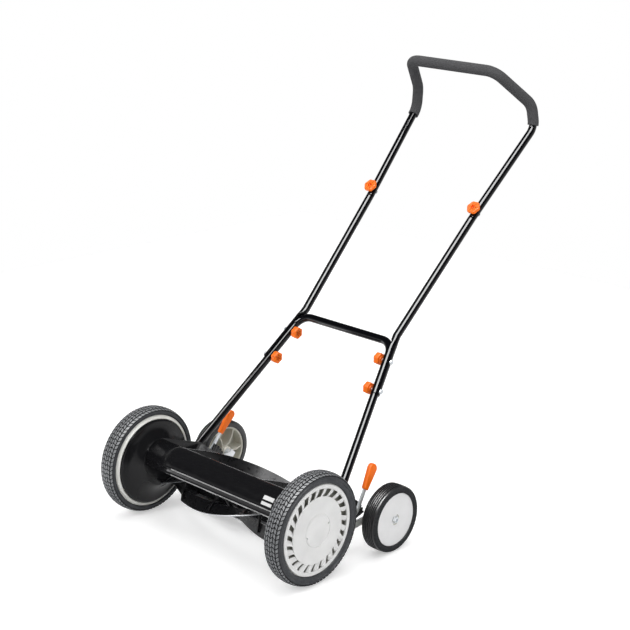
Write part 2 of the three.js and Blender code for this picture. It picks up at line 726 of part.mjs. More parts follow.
// The grip widens from a square-cut foot to a round top.
function leverGrip() {
  const { length, past, footR, topR, t } = leverHandle;
  const arm = point2(leverTip.y - leverKnee.y, leverTip.z - leverKnee.z).normalize();
  const onArm = (along, aside, r) => ({
    y: leverTip.y + arm.x * along - arm.y * aside,
    z: leverTip.z + arm.y * along + arm.x * aside,
    r,
  });
  const corner = 4;
  const foot = past + topR - length + corner;
  const outline = around([
    onArm(past, 0, topR),
    onArm(foot, footR - corner, corner),
    onArm(foot, corner - footR, corner),
  ], 12);
  const middle = leverStation + leverT / 2;
  const body = sheet(outline, middle - t / 2, middle + t / 2, { bevel: 1.8 });
  return leaned(cut(body, leverArm(SEAT)));
}

// ---------------------------------------------------------------- handle
// A point of the lower tube's left leg, from its place along Y.
const legTop = new THREE.Vector3(crossbar.x, crossbar.y, crossbar.z);
function onLeg(y) {
  return legFoot.clone().lerp(legTop, (y - legFoot.y) / (legTop.y - legFoot.y));
}
const legRun = legTop.clone().sub(legFoot).normalize();
const boreR = tubeR - tubeWall;
const legLean = -legRun.x / Math.hypot(legRun.y, legRun.z);

// How far out along X, from a leg's axis, a flat round face clears a skin of the given radius.
const standoff = (skinR, faceR) => skinR * Math.hypot(1, legLean) + faceR * legLean + SEAT;

const drill = 30; // each way along X, through a leg
const boltHole = (point, radius) => holeFor(radius, point.x - drill, point.x + drill, point.y, point.z);

function lowerTube() {
  const foot = legFoot.clone().addScaledVector(legRun, -14);
  const corners = [foot, legTop, mirrored(legTop), mirrored(foot)];
  const body = tube(new BentPath(corners, [crossbar.bend, crossbar.bend]), tubeR, boreR);
  const holes = [legFoot, ...clampBacks.map(onLeg)].flatMap((at, i) => {
    const radius = i === 0 ? boltR : clampBoltR;
    return [boltHole(at, radius), boltHole(mirrored(at), radius)];
  });
  return cut(body, ...holes);
}

const upperRun = gripFoot.clone().sub(socket).normalize();
const spigotEnd = socket.clone().addScaledVector(upperRun, spigotLength);
const upperBoltAt = socket.clone().addScaledVector(upperRun, 20);
// the upper bolts run square to the tube, forward and up to their knobs
const upperBoltRun = new THREE.Vector3(0, -upperRun.z, upperRun.y).normalize();

// The tool for an upper clamp bolt's hole through both tubes.
function upperHole(at) {
  const radius = (clampBoltR + SEAT) / Math.cos(Math.PI / 6);
  const profile = [[0, -20], [radius, -20], [radius, 20], [0, 20]];
  return pinBetween(profile, at, at.clone().add(upperBoltRun), 6);
}

// The foot of a middle tube is pressed flat and curled round the outside of the leg.
const saddle = { wrap: degrees(88), sides: 12, length: 122 };
saddle.in = (tubeR + SEAT) / Math.cos(Math.PI / saddle.sides);
saddle.out = saddle.in + 2 * tubeWall;
saddle.mid = (saddle.in + saddle.out) / 2;
const saddleShift = 4.2; // the round tube above it, from the line of the leg
const saddleOutward = new THREE.Vector3(1, 0, 0).addScaledVector(legRun, -legRun.x).normalize();
const kneeAt = onLeg(kneeBack).addScaledVector(saddleOutward, saddleShift);

// Where the point of a round tube at an angle goes when the tube is curled to a crescent: the
// outer half of its skin to the outside, the inner half to the inside.
function crescentPoint(angle) {
  const folded = Math.abs(angle) > Math.PI / 2 + 0.01;
  const onTip = Math.abs(Math.abs(angle) - Math.PI / 2) < 0.01;
  const share = (folded ? Math.PI - Math.abs(angle) : Math.abs(angle)) / (Math.PI / 2);
  const radius = onTip ? saddle.mid : folded ? saddle.in : saddle.out;
  const at = Math.sign(angle) * share * saddle.wrap;
  return point2(radius * Math.cos(at), radius * Math.sin(at));
}
function roundAngle(x, y) {
  const share = Math.atan2(y, x) / saddle.wrap;
  const angle = (share * Math.PI) / 2;
  if (Math.hypot(x, y) > saddle.mid - 0.1) return angle;
  return angle < 0 ? -Math.PI - angle : Math.PI - angle;
}

// The skin of a middle tube, drawn as a straight crescent with one step per station and laid
// along its stations. A station with a radius is round there; the others lie on the leg's line.
function middleSkin(stations) {
  const rim = Array.from({ length: saddle.sides }, (_, i) =>
    crescentPoint((2 * Math.PI * i) / saddle.sides - Math.PI + 2 * Math.PI / saddle.sides));
  const steps = stations.length - 1;
  const geometry = new THREE.ExtrudeGeometry(
    new THREE.Shape(rim), { depth: steps, steps, bevelEnabled: false },
  );
  const at = geometry.attributes.position;
  for (let i = 0; i < at.count; i++) {
    const { centre, along, r } = stations[Math.round(at.getZ(i))];
    const outward = saddleOutward.clone().addScaledVector(along, -saddleOutward.dot(along));
    const across = along.clone().cross(outward.normalize());
    let [x, y] = [at.getX(i), at.getY(i)];
    if (r) {
      const angle = roundAngle(x, y);
      [x, y] = [r * Math.cos(angle), r * Math.sin(angle)];
    }
    const p = centre.clone().addScaledVector(outward, x).addScaledVector(across, y);
    at.setXYZ(i, p.x, p.y, p.z);
  }
  return geometry;
}

function middleTube() {
  const foot = onLeg(saddleEndBack);
  const run = socket.clone().sub(kneeAt).normalize();
  const shoulder = socket.clone().addScaledVector(run, -1.5);
  const neck = socket.clone().addScaledVector(upperRun, 1);
  const neckR = boreR * Math.cos(Math.PI / boreSides) - SEAT;
  const skin = middleSkin([
    { centre: foot, along: legRun },
    { centre: foot.clone().addScaledVector(legRun, saddle.length), along: legRun },
    { centre: kneeAt.clone().addScaledVector(legRun, -6), along: legRun, r: tubeR },
    { centre: kneeAt.clone().addScaledVector(run, 6), along: run, r: tubeR },
    { centre: shoulder, along: run, r: tubeR },
    { centre: neck, along: upperRun, r: neckR },
    { centre: spigotEnd, along: upperRun, r: neckR },
  ]);
  // the bore starts where the tube is round again
  const boreFrom = kneeAt.clone().addScaledVector(run, 14);
  const bore = rodAlong(new BentPath([boreFrom, shoulder], []), boreR, boreSides);
  const past = spigotEnd.clone().addScaledVector(upperRun, 1);
  const neckBore = rodAlong(
    new BentPath([shoulder.clone().addScaledVector(upperRun, -1), past], []),
    neckR - tubeWall, boreSides,
  );
  const holes = clampBacks.map((back) => boltHole(onLeg(back), clampBoltR));
  return cut(skin, bore, neckBore, ...holes, upperHole(upperBoltAt));
}

function upperTube() {
  const start = socket.clone().addScaledVector(upperRun, SEAT + 1.2);
  const corners = [
    start, gripFoot, gripShoulder, gripCorner,
    mirrored(gripCorner), mirrored(gripShoulder), mirrored(gripFoot), mirrored(start),
  ];
  const body = tube(new BentPath(corners, gripBends), tubeR, boreR);
  return cut(body, upperHole(upperBoltAt), upperHole(mirrored(upperBoltAt)));
}
const gripBends = [40, 45, 38, 38, 45, 40];

function foamGrip() {
  const start = gripFoot.clone().addScaledVector(upperRun, -10);
  const corners = [
    start, gripFoot, gripShoulder, gripCorner,
    mirrored(gripCorner), mirrored(gripShoulder), mirrored(gripFoot), mirrored(start),
  ];
  // the sleeve starts where the first bend does, so it follows the tube under it
  const path = new BentPath(corners, gripBends);
  path.stations = path.stations.slice(1, -1);
  const innerR = (tubeR + SEAT) / Math.cos(Math.PI / tubeSides);
  return tube(path, foamR, innerR, tubeSides, tubeSides);
}

// A clamp bolt runs from a round head on the outside to its knob.
const knobOutline = () => {
  const count = 2 * knob.lobes;
  return new THREE.Shape(Array.from({ length: count }, (_, i) => {
    const angle = (2 * Math.PI * i) / count;
    const r = i % 2 ? knob.r - 2 * knob.lobe : knob.r;
    return point2(r * Math.cos(angle), r * Math.sin(angle));
  }));
};

// Drawn with its hub's face at the origin and its bolt along +Z, then turned to the bolt.
function knobAt(back, run) {
  const head = new THREE.ExtrudeGeometry(knobOutline(), {
    depth: knob.length, bevelEnabled: false,
  }).translate(0, 0, knob.hubLength);
  const hub = pin(knob.hubR, 0, knob.hubLength + 1, 0, 0, 8).rotateY(-Math.PI / 2);
  const bore = holeFor(clampBoltR, -1, boltReach + SEAT, 0, 0).rotateY(-Math.PI / 2);
  const turn = new THREE.Quaternion().setFromUnitVectors(new THREE.Vector3(0, 0, 1), run);
  return cut(join(head, hub), bore).applyQuaternion(turn).translate(back.x, back.y, back.z);
}
const boltReach = knob.hubLength + knob.length - 4; // how deep a clamp bolt goes into its knob

const clampHeadR = 6;
function clampBolt(head, run, length) {
  const profile = [
    [0, -4], [3.5, -4], [clampHeadR, -2.5], [clampHeadR, 0],
    [clampBoltR, 0], [clampBoltR, length], [0, length],
  ];
  return pinBetween(profile, head, head.clone().add(run), 8);
}

// ---------------------------------------------------------------- putting it together
placePair('side_plate', sidePlate(), blackPaint);
placePair('dust_cover', dustCover(), blackPaint);
placePair('reel_bearing', reelBearing(), zinc);
place('front_cover', frontCover(), blackPaint);
place('tie_tube', tieTube(), blackPaint);
place('cutter_bar', cutterBar(), blackPaint);
place('bed_knife', bedKnife(), steel);
placePair('height_bracket', heightBracket(), blackPaint);
placePair(
  'lever_bolt',
  throughBolt(
    leverPivot.y, leverPivot.z, leverStation + leverT + SEAT, leverStation + leverT + SEAT + 4,
  ),
  zinc,
);
placePair(
  'handle_bolt',
  throughBolt(
    ear.y, ear.z, legFoot.x + standoff(tubeR, nutR), legFoot.x + standoff(tubeR, nutR) + 3.2,
    [plateOut + SEAT, legFoot.x - standoff(tubeR, 2 * boltR)],
  ),
  zinc,
);

place('reel_shaft', reelShaft(), steel);
for (let i = 0; i < spiderCount; i++) {
  const station = -reelHalf + spiderInset + (i * (reel.cut - 2 * spiderInset)) / (spiderCount - 1);
  place(`reel_spider_${i + 1}`, spider(station), bladePaint);
}
for (let i = 0; i < reel.blades; i++) place(`reel_blade_${i + 1}`, blade(i), bladePaint);
placePair('pinion', pinion(), steel);

placePair('front_wheel', frontWheel(), creamPlastic);
placePair('wheel_cover', wheelCover(), greyPlastic);
placePair('front_tyre', frontTyreBody(), tyreRubber);

placePair('rear_wheel', rearWheel(), creamPlastic);
placePair('rear_tyre', rearTyreBody(), tyreRubber);
placePair('height_lever', heightLever(), zinc);
placePair('lever_grip', leverGrip(), orangePlastic);

place('lower_tube', lowerTube(), blackTube);
placePair('middle_tube', middleTube(), blackTube);
place('upper_tube', upperTube(), blackTube);
place('foam_grip', foamGrip(), foam);
const inward = new THREE.Vector3(-1, 0, 0);
clampBacks.forEach((back, i) => {
  const at = onLeg(back);
  const head = new THREE.Vector3(at.x + standoff(saddle.out, clampHeadR), at.y, at.z);
  const face = new THREE.Vector3(at.x - standoff(tubeR, knob.hubR), at.y, at.z);
  placePair(`clamp_bolt_${i + 1}`, clampBolt(head, inward, head.x - face.x + boltReach), zinc);
  placePair(`clamp_knob_${i + 1}`, knobAt(face, inward), orangePlastic);
});
const upperHead = upperBoltAt.clone().addScaledVector(upperBoltRun, -tubeR - SEAT);
const upperFace = upperBoltAt.clone().addScaledVector(upperBoltRun, tubeR + SEAT);
placePair(
  'upper_bolt',
  clampBolt(upperHead, upperBoltRun, 2 * (tubeR + SEAT) + boltReach),
  zinc,
);
placePair('upper_knob', knobAt(upperFace, upperBoltRun), orangePlastic);

// The origin goes to the middle of the footprint, on the ground.
mower.updateMatrixWorld(true);
const extent = new THREE.Box3().setFromObject(mower, true);
mower.position.set(0, -(extent.min.y + extent.max.y) / 2, -extent.min.z);

export default mower;
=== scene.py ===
# %% [markdown]
# # A push reel mower
#
# The real machine is a five-bladed helical reel between two geared front wheels, with a bed
# knife under it, two small rear wheels on height levers, and a three-part tube handle with a
# foam grip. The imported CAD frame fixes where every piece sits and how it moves. This lesson
# rebuilds the surfaces that the eye meets, piece by piece, with Blender's own modelling
# operators, and gives every piece a finish made of shader nodes.
#
# The lesson could edit the CAD meshes, but they are loose triangles with coarse circles. It is
# cleaner to draw each visible piece again, smoothly, and to say which CAD piece it stands for.

import json
from math import asin, atan2, copysign, cos, degrees, hypot, pi, radians, sin, sqrt, tan

import bmesh
import bpy
from mathutils import Matrix, Vector

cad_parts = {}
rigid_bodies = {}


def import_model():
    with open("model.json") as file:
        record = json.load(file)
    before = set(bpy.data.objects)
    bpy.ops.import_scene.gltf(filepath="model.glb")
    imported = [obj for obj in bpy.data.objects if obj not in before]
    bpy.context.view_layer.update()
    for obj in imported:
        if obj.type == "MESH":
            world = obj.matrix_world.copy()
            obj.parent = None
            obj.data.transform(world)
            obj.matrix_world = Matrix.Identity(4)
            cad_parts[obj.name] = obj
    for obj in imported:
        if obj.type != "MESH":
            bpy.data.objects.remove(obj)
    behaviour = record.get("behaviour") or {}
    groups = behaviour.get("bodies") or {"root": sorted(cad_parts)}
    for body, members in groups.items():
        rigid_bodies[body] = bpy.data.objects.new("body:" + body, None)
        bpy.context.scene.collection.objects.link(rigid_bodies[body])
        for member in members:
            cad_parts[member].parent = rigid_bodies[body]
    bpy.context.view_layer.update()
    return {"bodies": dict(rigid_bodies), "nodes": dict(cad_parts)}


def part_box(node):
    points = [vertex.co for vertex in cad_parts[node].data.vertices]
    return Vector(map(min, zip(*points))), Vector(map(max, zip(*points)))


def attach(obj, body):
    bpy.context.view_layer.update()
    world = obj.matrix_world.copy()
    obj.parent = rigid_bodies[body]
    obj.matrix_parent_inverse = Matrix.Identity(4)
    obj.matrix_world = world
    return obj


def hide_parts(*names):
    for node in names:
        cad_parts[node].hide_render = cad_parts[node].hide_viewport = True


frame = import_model()

# %% [markdown]
# ## One drawing board
#
# Every piece is drawn in millimetres with Y = 0 at the front axle and Z = 0 on the ground, as on
# a workshop drawing, with +X to the operator's left. One helper then carries the drawing to the
# frame, in metres. The axle's place comes from the frame itself, so the drawing can't drift.

# %% Where the drawing sits
tyre_low, tyre_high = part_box("left_front_tyre")
AXLE_BACK = (tyre_low.y + tyre_high.y) / 2
AXLE_UP = 1000 * (tyre_low.z + tyre_high.z) / 2
FRONT_AXLE = (0, AXLE_UP)
ACROSS = Vector((1, 0, 0))
UP = Vector((0, 0, 1))
print("front axle at Y", round(AXLE_BACK, 4), "m, and", round(AXLE_UP, 1), "mm above the ground")


def shift(shape, move, verts=None):
    bmesh.ops.translate(shape, vec=move, verts=verts or shape.verts)


def resize(shape, factor):
    bmesh.ops.scale(shape, vec=(factor, factor, factor), verts=shape.verts)


def mesh_of(name, shape):
    mesh = bpy.data.meshes.new(name)
    shape.to_mesh(mesh)
    shape.free()
    return mesh


def placed(name, data):
    thing = bpy.data.objects.new(name, data)
    bpy.context.scene.collection.objects.link(thing)
    return thing


def looking(at, towards):
    """Stand a camera or a lamp at a point and turn it towards another."""
    turn = (Vector(towards) - Vector(at)).to_track_quat("-Z", "Y").to_matrix().to_4x4()
    return Matrix.Translation(at) @ turn


# %% [markdown]
# ## Camera
#
# A product picture is taken with a long lens from well back, so that the near wheel isn't
# swollen. The camera is placed by where it stands and what it looks at, then rolled a little.
# An Empty as a target would work too, but a direction turned into a rotation is simpler to read.

# %% Camera
camera_data = bpy.data.cameras.new("camera")
camera_data.lens = 86.3
camera_data.sensor_width = 36
camera_data.clip_end = 60
camera = placed("camera", camera_data)
bpy.context.scene.camera = camera
stand = Vector((2.255, AXLE_BACK - 2.170, 1.4915))
aim = Vector((0.1807, AXLE_BACK + 0.0834, 0.5645))
camera.matrix_world = looking(stand, aim) @ Matrix.Rotation(radians(1.76), 4, "Z")
print("camera stands", round((aim - stand).length, 2), "m from its aim")

# %% [markdown]
# ## Floor, room and lamps
#
# A white studio is a pale floor that runs into a white room. The floor adds a little light of
# its own only where it is looked at or mirrored, so it reads as white and still keeps the
# shadow. The room is white behind the object. In reflections it is a white backdrop too, but
# with a dark ceiling above, so the black paint stays black. Four lamps light the object without
# showing in its gloss. Three cards do the reverse: a large one high in front draws the long
# bright line on the handle's tubes, a small one draws it on the foot of the far leg, and one on
# the floor draws the soft line along the crossbar.

# %% Helpers for shader nodes
def plain(name, colour, roughness, specular=0.5, metallic=0.0):
    """A Principled material with its plain values on its own sockets."""
    made = bpy.data.materials.new(name)
    made.use_nodes = True
    sockets = made.node_tree.nodes["Principled BSDF"].inputs
    sockets["Base Color"].default_value = (*colour, 1)
    sockets["Roughness"].default_value = roughness
    sockets["Specular IOR Level"].default_value = specular
    sockets["Metallic"].default_value = metallic
    return made


def added(tree, kind, **values):
    """Add a node and set its sockets' plain values."""
    made = tree.nodes.new("ShaderNode" + kind)
    for socket, value in values.items():
        made.inputs[socket.replace("_", " ")].default_value = value
    return made


def maths(tree, operation, *values):
    """Add a maths node that takes numbers or other nodes' outputs."""
    made = tree.nodes.new("ShaderNodeMath")
    made.operation = operation
    for socket, value in zip(made.inputs, values):
        if isinstance(value, float):
            socket.default_value = value
        else:
            tree.links.new(value, socket)
    return made.outputs[0]


def seen_or_mirrored(tree):
    ray = added(tree, "LightPath").outputs
    seen = maths(tree, "MAXIMUM", ray["Is Camera Ray"], ray["Is Glossy Ray"])
    return maths(tree, "MAXIMUM", seen, ray["Is Transmission Ray"])


# %% Floor
FLOOR_HALF = 2.2
FLOOR_GLOW = 0.42


def make_floor():
    floor_white = plain("floor_white", (0.8, 0.8, 0.8), 0.7, 0.2)
    tree = floor_white.node_tree
    glow = added(tree, "Emission", Color=(1, 1, 1, 1))
    both = added(tree, "AddShader")
    lift = maths(tree, "MULTIPLY", seen_or_mirrored(tree), FLOOR_GLOW)
    tree.links.new(lift, glow.inputs["Strength"])
    tree.links.new(tree.nodes["Principled BSDF"].outputs[0], both.inputs[0])
    tree.links.new(glow.outputs[0], both.inputs[1])
    tree.links.new(both.outputs[0], tree.nodes["Material Output"].inputs["Surface"])
    shape = bmesh.new()
    bmesh.ops.create_grid(shape, x_segments=1, y_segments=1, size=FLOOR_HALF)
    shift(shape, (0, 0, -0.0004))
    floor = placed("floor", mesh_of("floor", shape))
    floor.data.materials.append(floor_white)
    return floor


print("floor is", round(make_floor().dimensions.x), "m wide")

# %% Room
BACKDROP_TOP = 0.22


def make_room():
    room = bpy.data.worlds.new("room")
    bpy.context.scene.world = room
    room.use_nodes = True
    tree = room.node_tree
    direction = added(tree, "TexCoord")
    height = added(tree, "SeparateXYZ")
    backdrop = added(tree, "MapRange", From_Min=0.05, From_Max=BACKDROP_TOP, To_Min=1.0,
                     To_Max=0.03)
    backdrop.interpolation_type = "SMOOTHSTEP"
    tree.links.new(direction.outputs["Generated"], height.inputs[0])
    tree.links.new(height.outputs["Z"], backdrop.inputs["Value"])
    to_camera = added(tree, "LightPath").outputs["Is Camera Ray"]
    white_behind = maths(tree, "MAXIMUM", backdrop.outputs["Result"], to_camera)
    choice = added(tree, "Mix", A=0.5)
    tree.links.new(seen_or_mirrored(tree), choice.inputs["Factor"])
    tree.links.new(white_behind, choice.inputs["B"])
    tree.nodes["Background"].inputs["Color"].default_value = (1, 1, 1, 1)
    tree.links.new(choice.outputs["Result"], tree.nodes["Background"].inputs["Strength"])


make_room()
bpy.context.scene.view_settings.view_transform = "Standard"
print("the backdrop ends", round(degrees(asin(BACKDROP_TOP))), "degrees above the horizon")


# %% Lamps
def softbox(name, at, towards, width, height, watts, card=False):
    """A lamp that lights the object and isn't mirrored in it, or a card that is only mirrored."""
    data = bpy.data.lights.new(name, "AREA")
    data.shape = "RECTANGLE"
    data.size = width
    data.size_y = height
    data.energy = watts
    lamp = placed(name, data)
    lamp.matrix_world = looking(at, towards)
    lamp.visible_glossy = card
    if card:
        lamp.visible_diffuse = lamp.visible_camera = False


middle = Vector((0, 0, 0.45))
softbox("overhead", (0.2, 0.1, 3.0), (0, 0, 0), 2.6, 2.6, 38)
softbox("key", (-0.3, -3.0, 2.1), middle, 0.9, 1.6, 44)
softbox("side", (3.3, 0.9, 1.8), middle, 0.9, 1.6, 29)
softbox("far_side", (-2.6, 1.6, 2.2), middle, 0.9, 1.6, 15)
above_front = middle + 2.6 * Vector((0.285, -0.40, 0.871))
softbox("leg_card", above_front, middle, 1.8, 2.2, 400, card=True)
low_front = Vector((-0.70, AXLE_BACK - 1.74, 2.14))
far_foot = Vector((-0.18, AXLE_BACK + 0.25, 0.28))
softbox("far_leg_card", low_front, far_foot, 0.55, 0.6, 50, card=True)
under_handle = Vector((-0.95, AXLE_BACK - 0.14, 0.004))
softbox("floor_card", under_handle, under_handle + UP, 1.1, 0.6, 9, card=True)

# %% [markdown]
# ## Finishes
#
# No real surface is one flat colour. Gloss paint has a faint orange peel, zinc plate clouds,
# moulded plastic has a fine grain, and a front tyre is painted darker in its hollows as painted
# shade and lighter on its block tops as painted highlight. Each finish here is a Principled shader
# whose plain values sit on its own sockets, with noise textures on Object coordinates adding the
# variation and a small bump. Image textures would give more, but they need files and UV maps;
# noise needs neither. A tint runs between two colours, a polish between two roughnesses, and a
# grain has a strength and a depth in millimetres; each starts with its noise's scale per metre
# and its detail.

# %% Helpers for finishes
def noise(tree, per_metre, detail, stretch):
    place = added(tree, "TexCoord")
    mapping = added(tree, "Mapping", Scale=(stretch, 1, 1))
    texture = added(tree, "TexNoise", Scale=per_metre, Detail=detail)
    tree.links.new(place.outputs["Object"], mapping.inputs["Vector"])
    tree.links.new(mapping.outputs["Vector"], texture.inputs["Vector"])
    return texture.outputs["Fac"]


def add_tint(tree, sockets, per_metre, detail, dark, light):
    ramp = added(tree, "ValToRGB")
    for stop, position, colour in zip(ramp.color_ramp.elements, (0.35, 0.65), (dark, light)):
        stop.position = position
        stop.color = (*colour, 1)
    tree.links.new(noise(tree, per_metre, detail, 1), ramp.inputs["Fac"])
    tree.links.new(ramp.outputs["Color"], sockets["Base Color"])


def add_polish(tree, sockets, per_metre, detail, low, high, stretch=1):
    spread = added(tree, "MapRange", From_Min=0.3, From_Max=0.7, To_Min=low, To_Max=high)
    tree.links.new(noise(tree, per_metre, detail, stretch), spread.inputs["Value"])
    tree.links.new(spread.outputs["Result"], sockets["Roughness"])


def add_grain(tree, sockets, per_metre, detail, strength, millimetres, stretch=1):
    bump = added(tree, "Bump", Strength=strength, Distance=millimetres / 1000)
    tree.links.new(noise(tree, per_metre, detail, stretch), bump.inputs["Height"])
    tree.links.new(bump.outputs["Normal"], sockets["Normal"])


def finish(*values, tint=None, polish=None, grain=None, **more):
    made = plain(*values, **more)
    sockets = made.node_tree.nodes["Principled BSDF"].inputs
    for add, pattern in ((add_tint, tint), (add_polish, polish), (add_grain, grain)):
        if pattern:
            add(made.node_tree, sockets, *pattern)
    return made


# %% Black paints
gloss_paint = finish("gloss_black_paint", (0.008, 0.008, 0.009), 0.16, 0.2,
                     polish=(60, 3, 0.11, 0.22), grain=(420, 2, 0.12, 0.12))
# Pale grey paint laid along the cover's ridge crests as painted highlight lines.
painted_highlight_paint = finish("painted_highlight_paint", (0.3, 0.3, 0.302), 0.3, 0.4,
                      tint=(45, 4, (0.24, 0.24, 0.242), (0.38, 0.38, 0.382)),
                      polish=(200, 3, 0.24, 0.4))
tube_paint = finish("black_tube_paint", (0.003, 0.003, 0.004), 0.1, 0.24,
                    polish=(90, 3, 0.07, 0.13), grain=(500, 2, 0.05, 0.08))
reel_paint = finish("satin_black_paint", (0.008, 0.008, 0.009), 0.3, 0.22,
                    polish=(120, 3, 0.22, 0.4), grain=(600, 3, 0.15, 0.12))

# %% Metals
ground_steel = finish("ground_steel", (0.62, 0.63, 0.65), 0.3, metallic=1.0,
                      polish=(300, 4, 0.22, 0.42, 6), grain=(900, 2, 0.2, 0.05, 8))
zinc_plate = finish("bright_zinc", (0.66, 0.69, 0.72), 0.36, metallic=0.45,
                    tint=(60, 3, (0.58, 0.61, 0.64), (0.72, 0.74, 0.76)),
                    polish=(120, 3, 0.3, 0.44))

# %% Rubber and foam
# The tread blocks' tops are painted lighter, as painted highlight.
painted_highlight_rubber = finish("painted_highlight_tread_blocks", (0.15, 0.156, 0.164), 0.6, 0.5,
                      tint=(180, 4, (0.105, 0.110, 0.118), (0.20, 0.206, 0.215)),
                      grain=(1800, 3, 0.3, 0.12))
# Darker rubber: painted shade on the front tyres' block walls; on the rear tyres a matte rubber of
# the same colour as the rest.
matte_shade_rubber = finish("matte_rubber_painted_shade", (0.014, 0.015, 0.017), 0.8, 0.2,
                       tint=(180, 4, (0.010, 0.011, 0.012), (0.020, 0.021, 0.024)))
tread_rubber = finish("tyre_rubber", (0.026, 0.028, 0.033), 0.58, 0.36,
                      tint=(70, 4, (0.022, 0.024, 0.029), (0.034, 0.036, 0.041)),
                      polish=(220, 3, 0.5, 0.72), grain=(1800, 3, 0.25, 0.12))
small_rubber = finish("small_tyre_rubber", (0.014, 0.014, 0.016), 0.32, 0.42,
                      polish=(200, 3, 0.27, 0.4), grain=(1800, 3, 0.08, 0.08))
grip_foam = finish("foam", (0.05, 0.05, 0.053), 0.95, 0.2,
                   tint=(900, 5, (0.036, 0.036, 0.038), (0.068, 0.068, 0.072)),
                   grain=(1300, 5, 0.55, 0.5))

# %% Plastics, and the paint of two plain bars
MOULDED = (1500, 3, 0.1, 0.08)
cover_plastic = finish("white_plastic", (0.76, 0.76, 0.75), 0.42, 0.4, grain=MOULDED,
                       tint=(25, 3, (0.73, 0.73, 0.725), (0.79, 0.79, 0.785)))
rim_plastic = finish("rim_plastic", (0.74, 0.74, 0.70), 0.42, 0.4, grain=MOULDED,
                     tint=(25, 3, (0.71, 0.71, 0.67), (0.77, 0.77, 0.73)))
# The web deep behind the front wheels' slots is painted darker here, as painted shade.
painted_shade_plastic = finish("painted_shade_hollow", (0.32, 0.32, 0.28), 0.7, 0.2,
                        tint=(40, 4, (0.25, 0.25, 0.22), (0.39, 0.39, 0.35)))
wheel_plastic = finish("cream_plastic", (0.60, 0.59, 0.52), 0.45, 0.4, grain=MOULDED,
                       tint=(30, 3, (0.56, 0.55, 0.48), (0.64, 0.63, 0.56)))
disc_plastic = finish("pale_grey_plastic", (0.76, 0.76, 0.765), 0.42, 0.4, grain=MOULDED,
                      tint=(28, 3, (0.74, 0.74, 0.745), (0.78, 0.78, 0.785)))
orange_plastic = finish("orange_plastic", (1.0, 0.18, 0.006), 0.42, 0.2,
                        polish=(300, 3, 0.36, 0.5), grain=(1100, 3, 0.12, 0.1))
bar_paint = finish("pale_bars", (0.72, 0.72, 0.72), 0.35, 0.4, polish=(200, 3, 0.3, 0.42))
print("finishes:", len(bpy.data.materials))

# %% [markdown]
# ## Workshop helpers
#
# Almost everything on this machine is one of four shapes: something turned on a lathe, a flat
# plate cut round a few circles, a bent tube, or a sheet. bmesh has an operator for each, namely
# spin, convex_hull, extrude with spin, and extrude. The helpers below wrap them, so a piece takes
# only a few lines. A last helper cleans a shape, moves it to the frame, ties it to its body, and
# prints its name and its size.

# %% Small steps
SEAM = 0.002


def weld(shape, within=SEAM):
    bmesh.ops.remove_doubles(shape, verts=shape.verts, dist=within)


def face_out(shape):
    bmesh.ops.recalc_face_normals(shape, faces=shape.faces)


def everything(shape):
    return shape.verts[:] + shape.edges[:] + shape.faces[:]


def verts_in(geometry):
    return [g for g in geometry if isinstance(g, bmesh.types.BMVert)]


def edges_in(geometry):
    return [g for g in geometry if isinstance(g, bmesh.types.BMEdge)]


def once(things):
    """Each thing once, in the order given."""
    return list(dict.fromkeys(things))


def edges_of(verts):
    return once(e for v in verts for e in v.link_edges)


def chain(shape, points):
    """Points joined by edges, for an operator to sweep."""
    verts = [shape.verts.new(point) for point in points]
    return verts + [shape.edges.new(pair) for pair in zip(verts, verts[1:])]


def closed(profile):
    return [*profile, profile[0]]


def round_point(centre, radius, angle):
    return centre[0] + radius * cos(angle), centre[1] + radius * sin(angle)


def across_at(point):
    """Carry something drawn flat to a point, facing along X."""
    return Matrix.Translation(point) @ Matrix.Rotation(pi / 2, 4, "Y")


# %% Turning, moving and softening
def full_turn(shape, line, centre, axis, steps):
    bmesh.ops.spin(shape, geom=line, cent=centre, axis=axis, angle=2 * pi, steps=steps,
                   use_merge=True)
    weld(shape)
    return shape


def turned(profile, centre, steps):
    """Spin a profile of (radius, station) points round an axis along X."""
    shape = bmesh.new()
    line = chain(shape, [(station, centre[0] + radius, centre[1]) for radius, station in profile])
    return full_turn(shape, line, (0, *centre), ACROSS, steps)


def swing(shape, verts, angle, centre):
    turn = Matrix.Rotation(radians(angle), 3, ACROSS)
    bmesh.ops.rotate(shape, verts=verts, cent=(0, *centre), matrix=turn)


def repeated(shape, count, centre):
    """Copy everything round an axis along X, so that there are count of it."""
    bmesh.ops.spin(shape, geom=everything(shape), cent=(0, *centre), axis=ACROSS,
                   angle=2 * pi * (count - 1) / count, steps=count - 1, use_duplicate=True)
    return shape


def aimed(shape, at, along):
    """Carry a shape drawn along +Z from the origin to a point and a direction."""
    turn = UP.rotation_difference(along).to_matrix().to_4x4()
    bmesh.ops.transform(shape, matrix=Matrix.Translation(at) @ turn, verts=shape.verts)
    return shape


def soften(shape, width, sharper_than=35, segments=2):
    edges = [e for e in shape.edges if e.calc_face_angle(0) > radians(sharper_than)]
    bmesh.ops.bevel(shape, geom=edges, offset=width, affect="EDGES", segments=segments,
                    profile=0.5, material=-1, clamp_overlap=True)
    return shape


def thicken(shape, faces, move):
    grown = bmesh.ops.extrude_face_region(shape, geom=faces)["geom"]
    shift(shape, move, verts_in(grown))


def merge_flat(shape, within=1):
    bmesh.ops.dissolve_limit(shape, angle_limit=radians(within), verts=shape.verts,
                             edges=shape.edges)


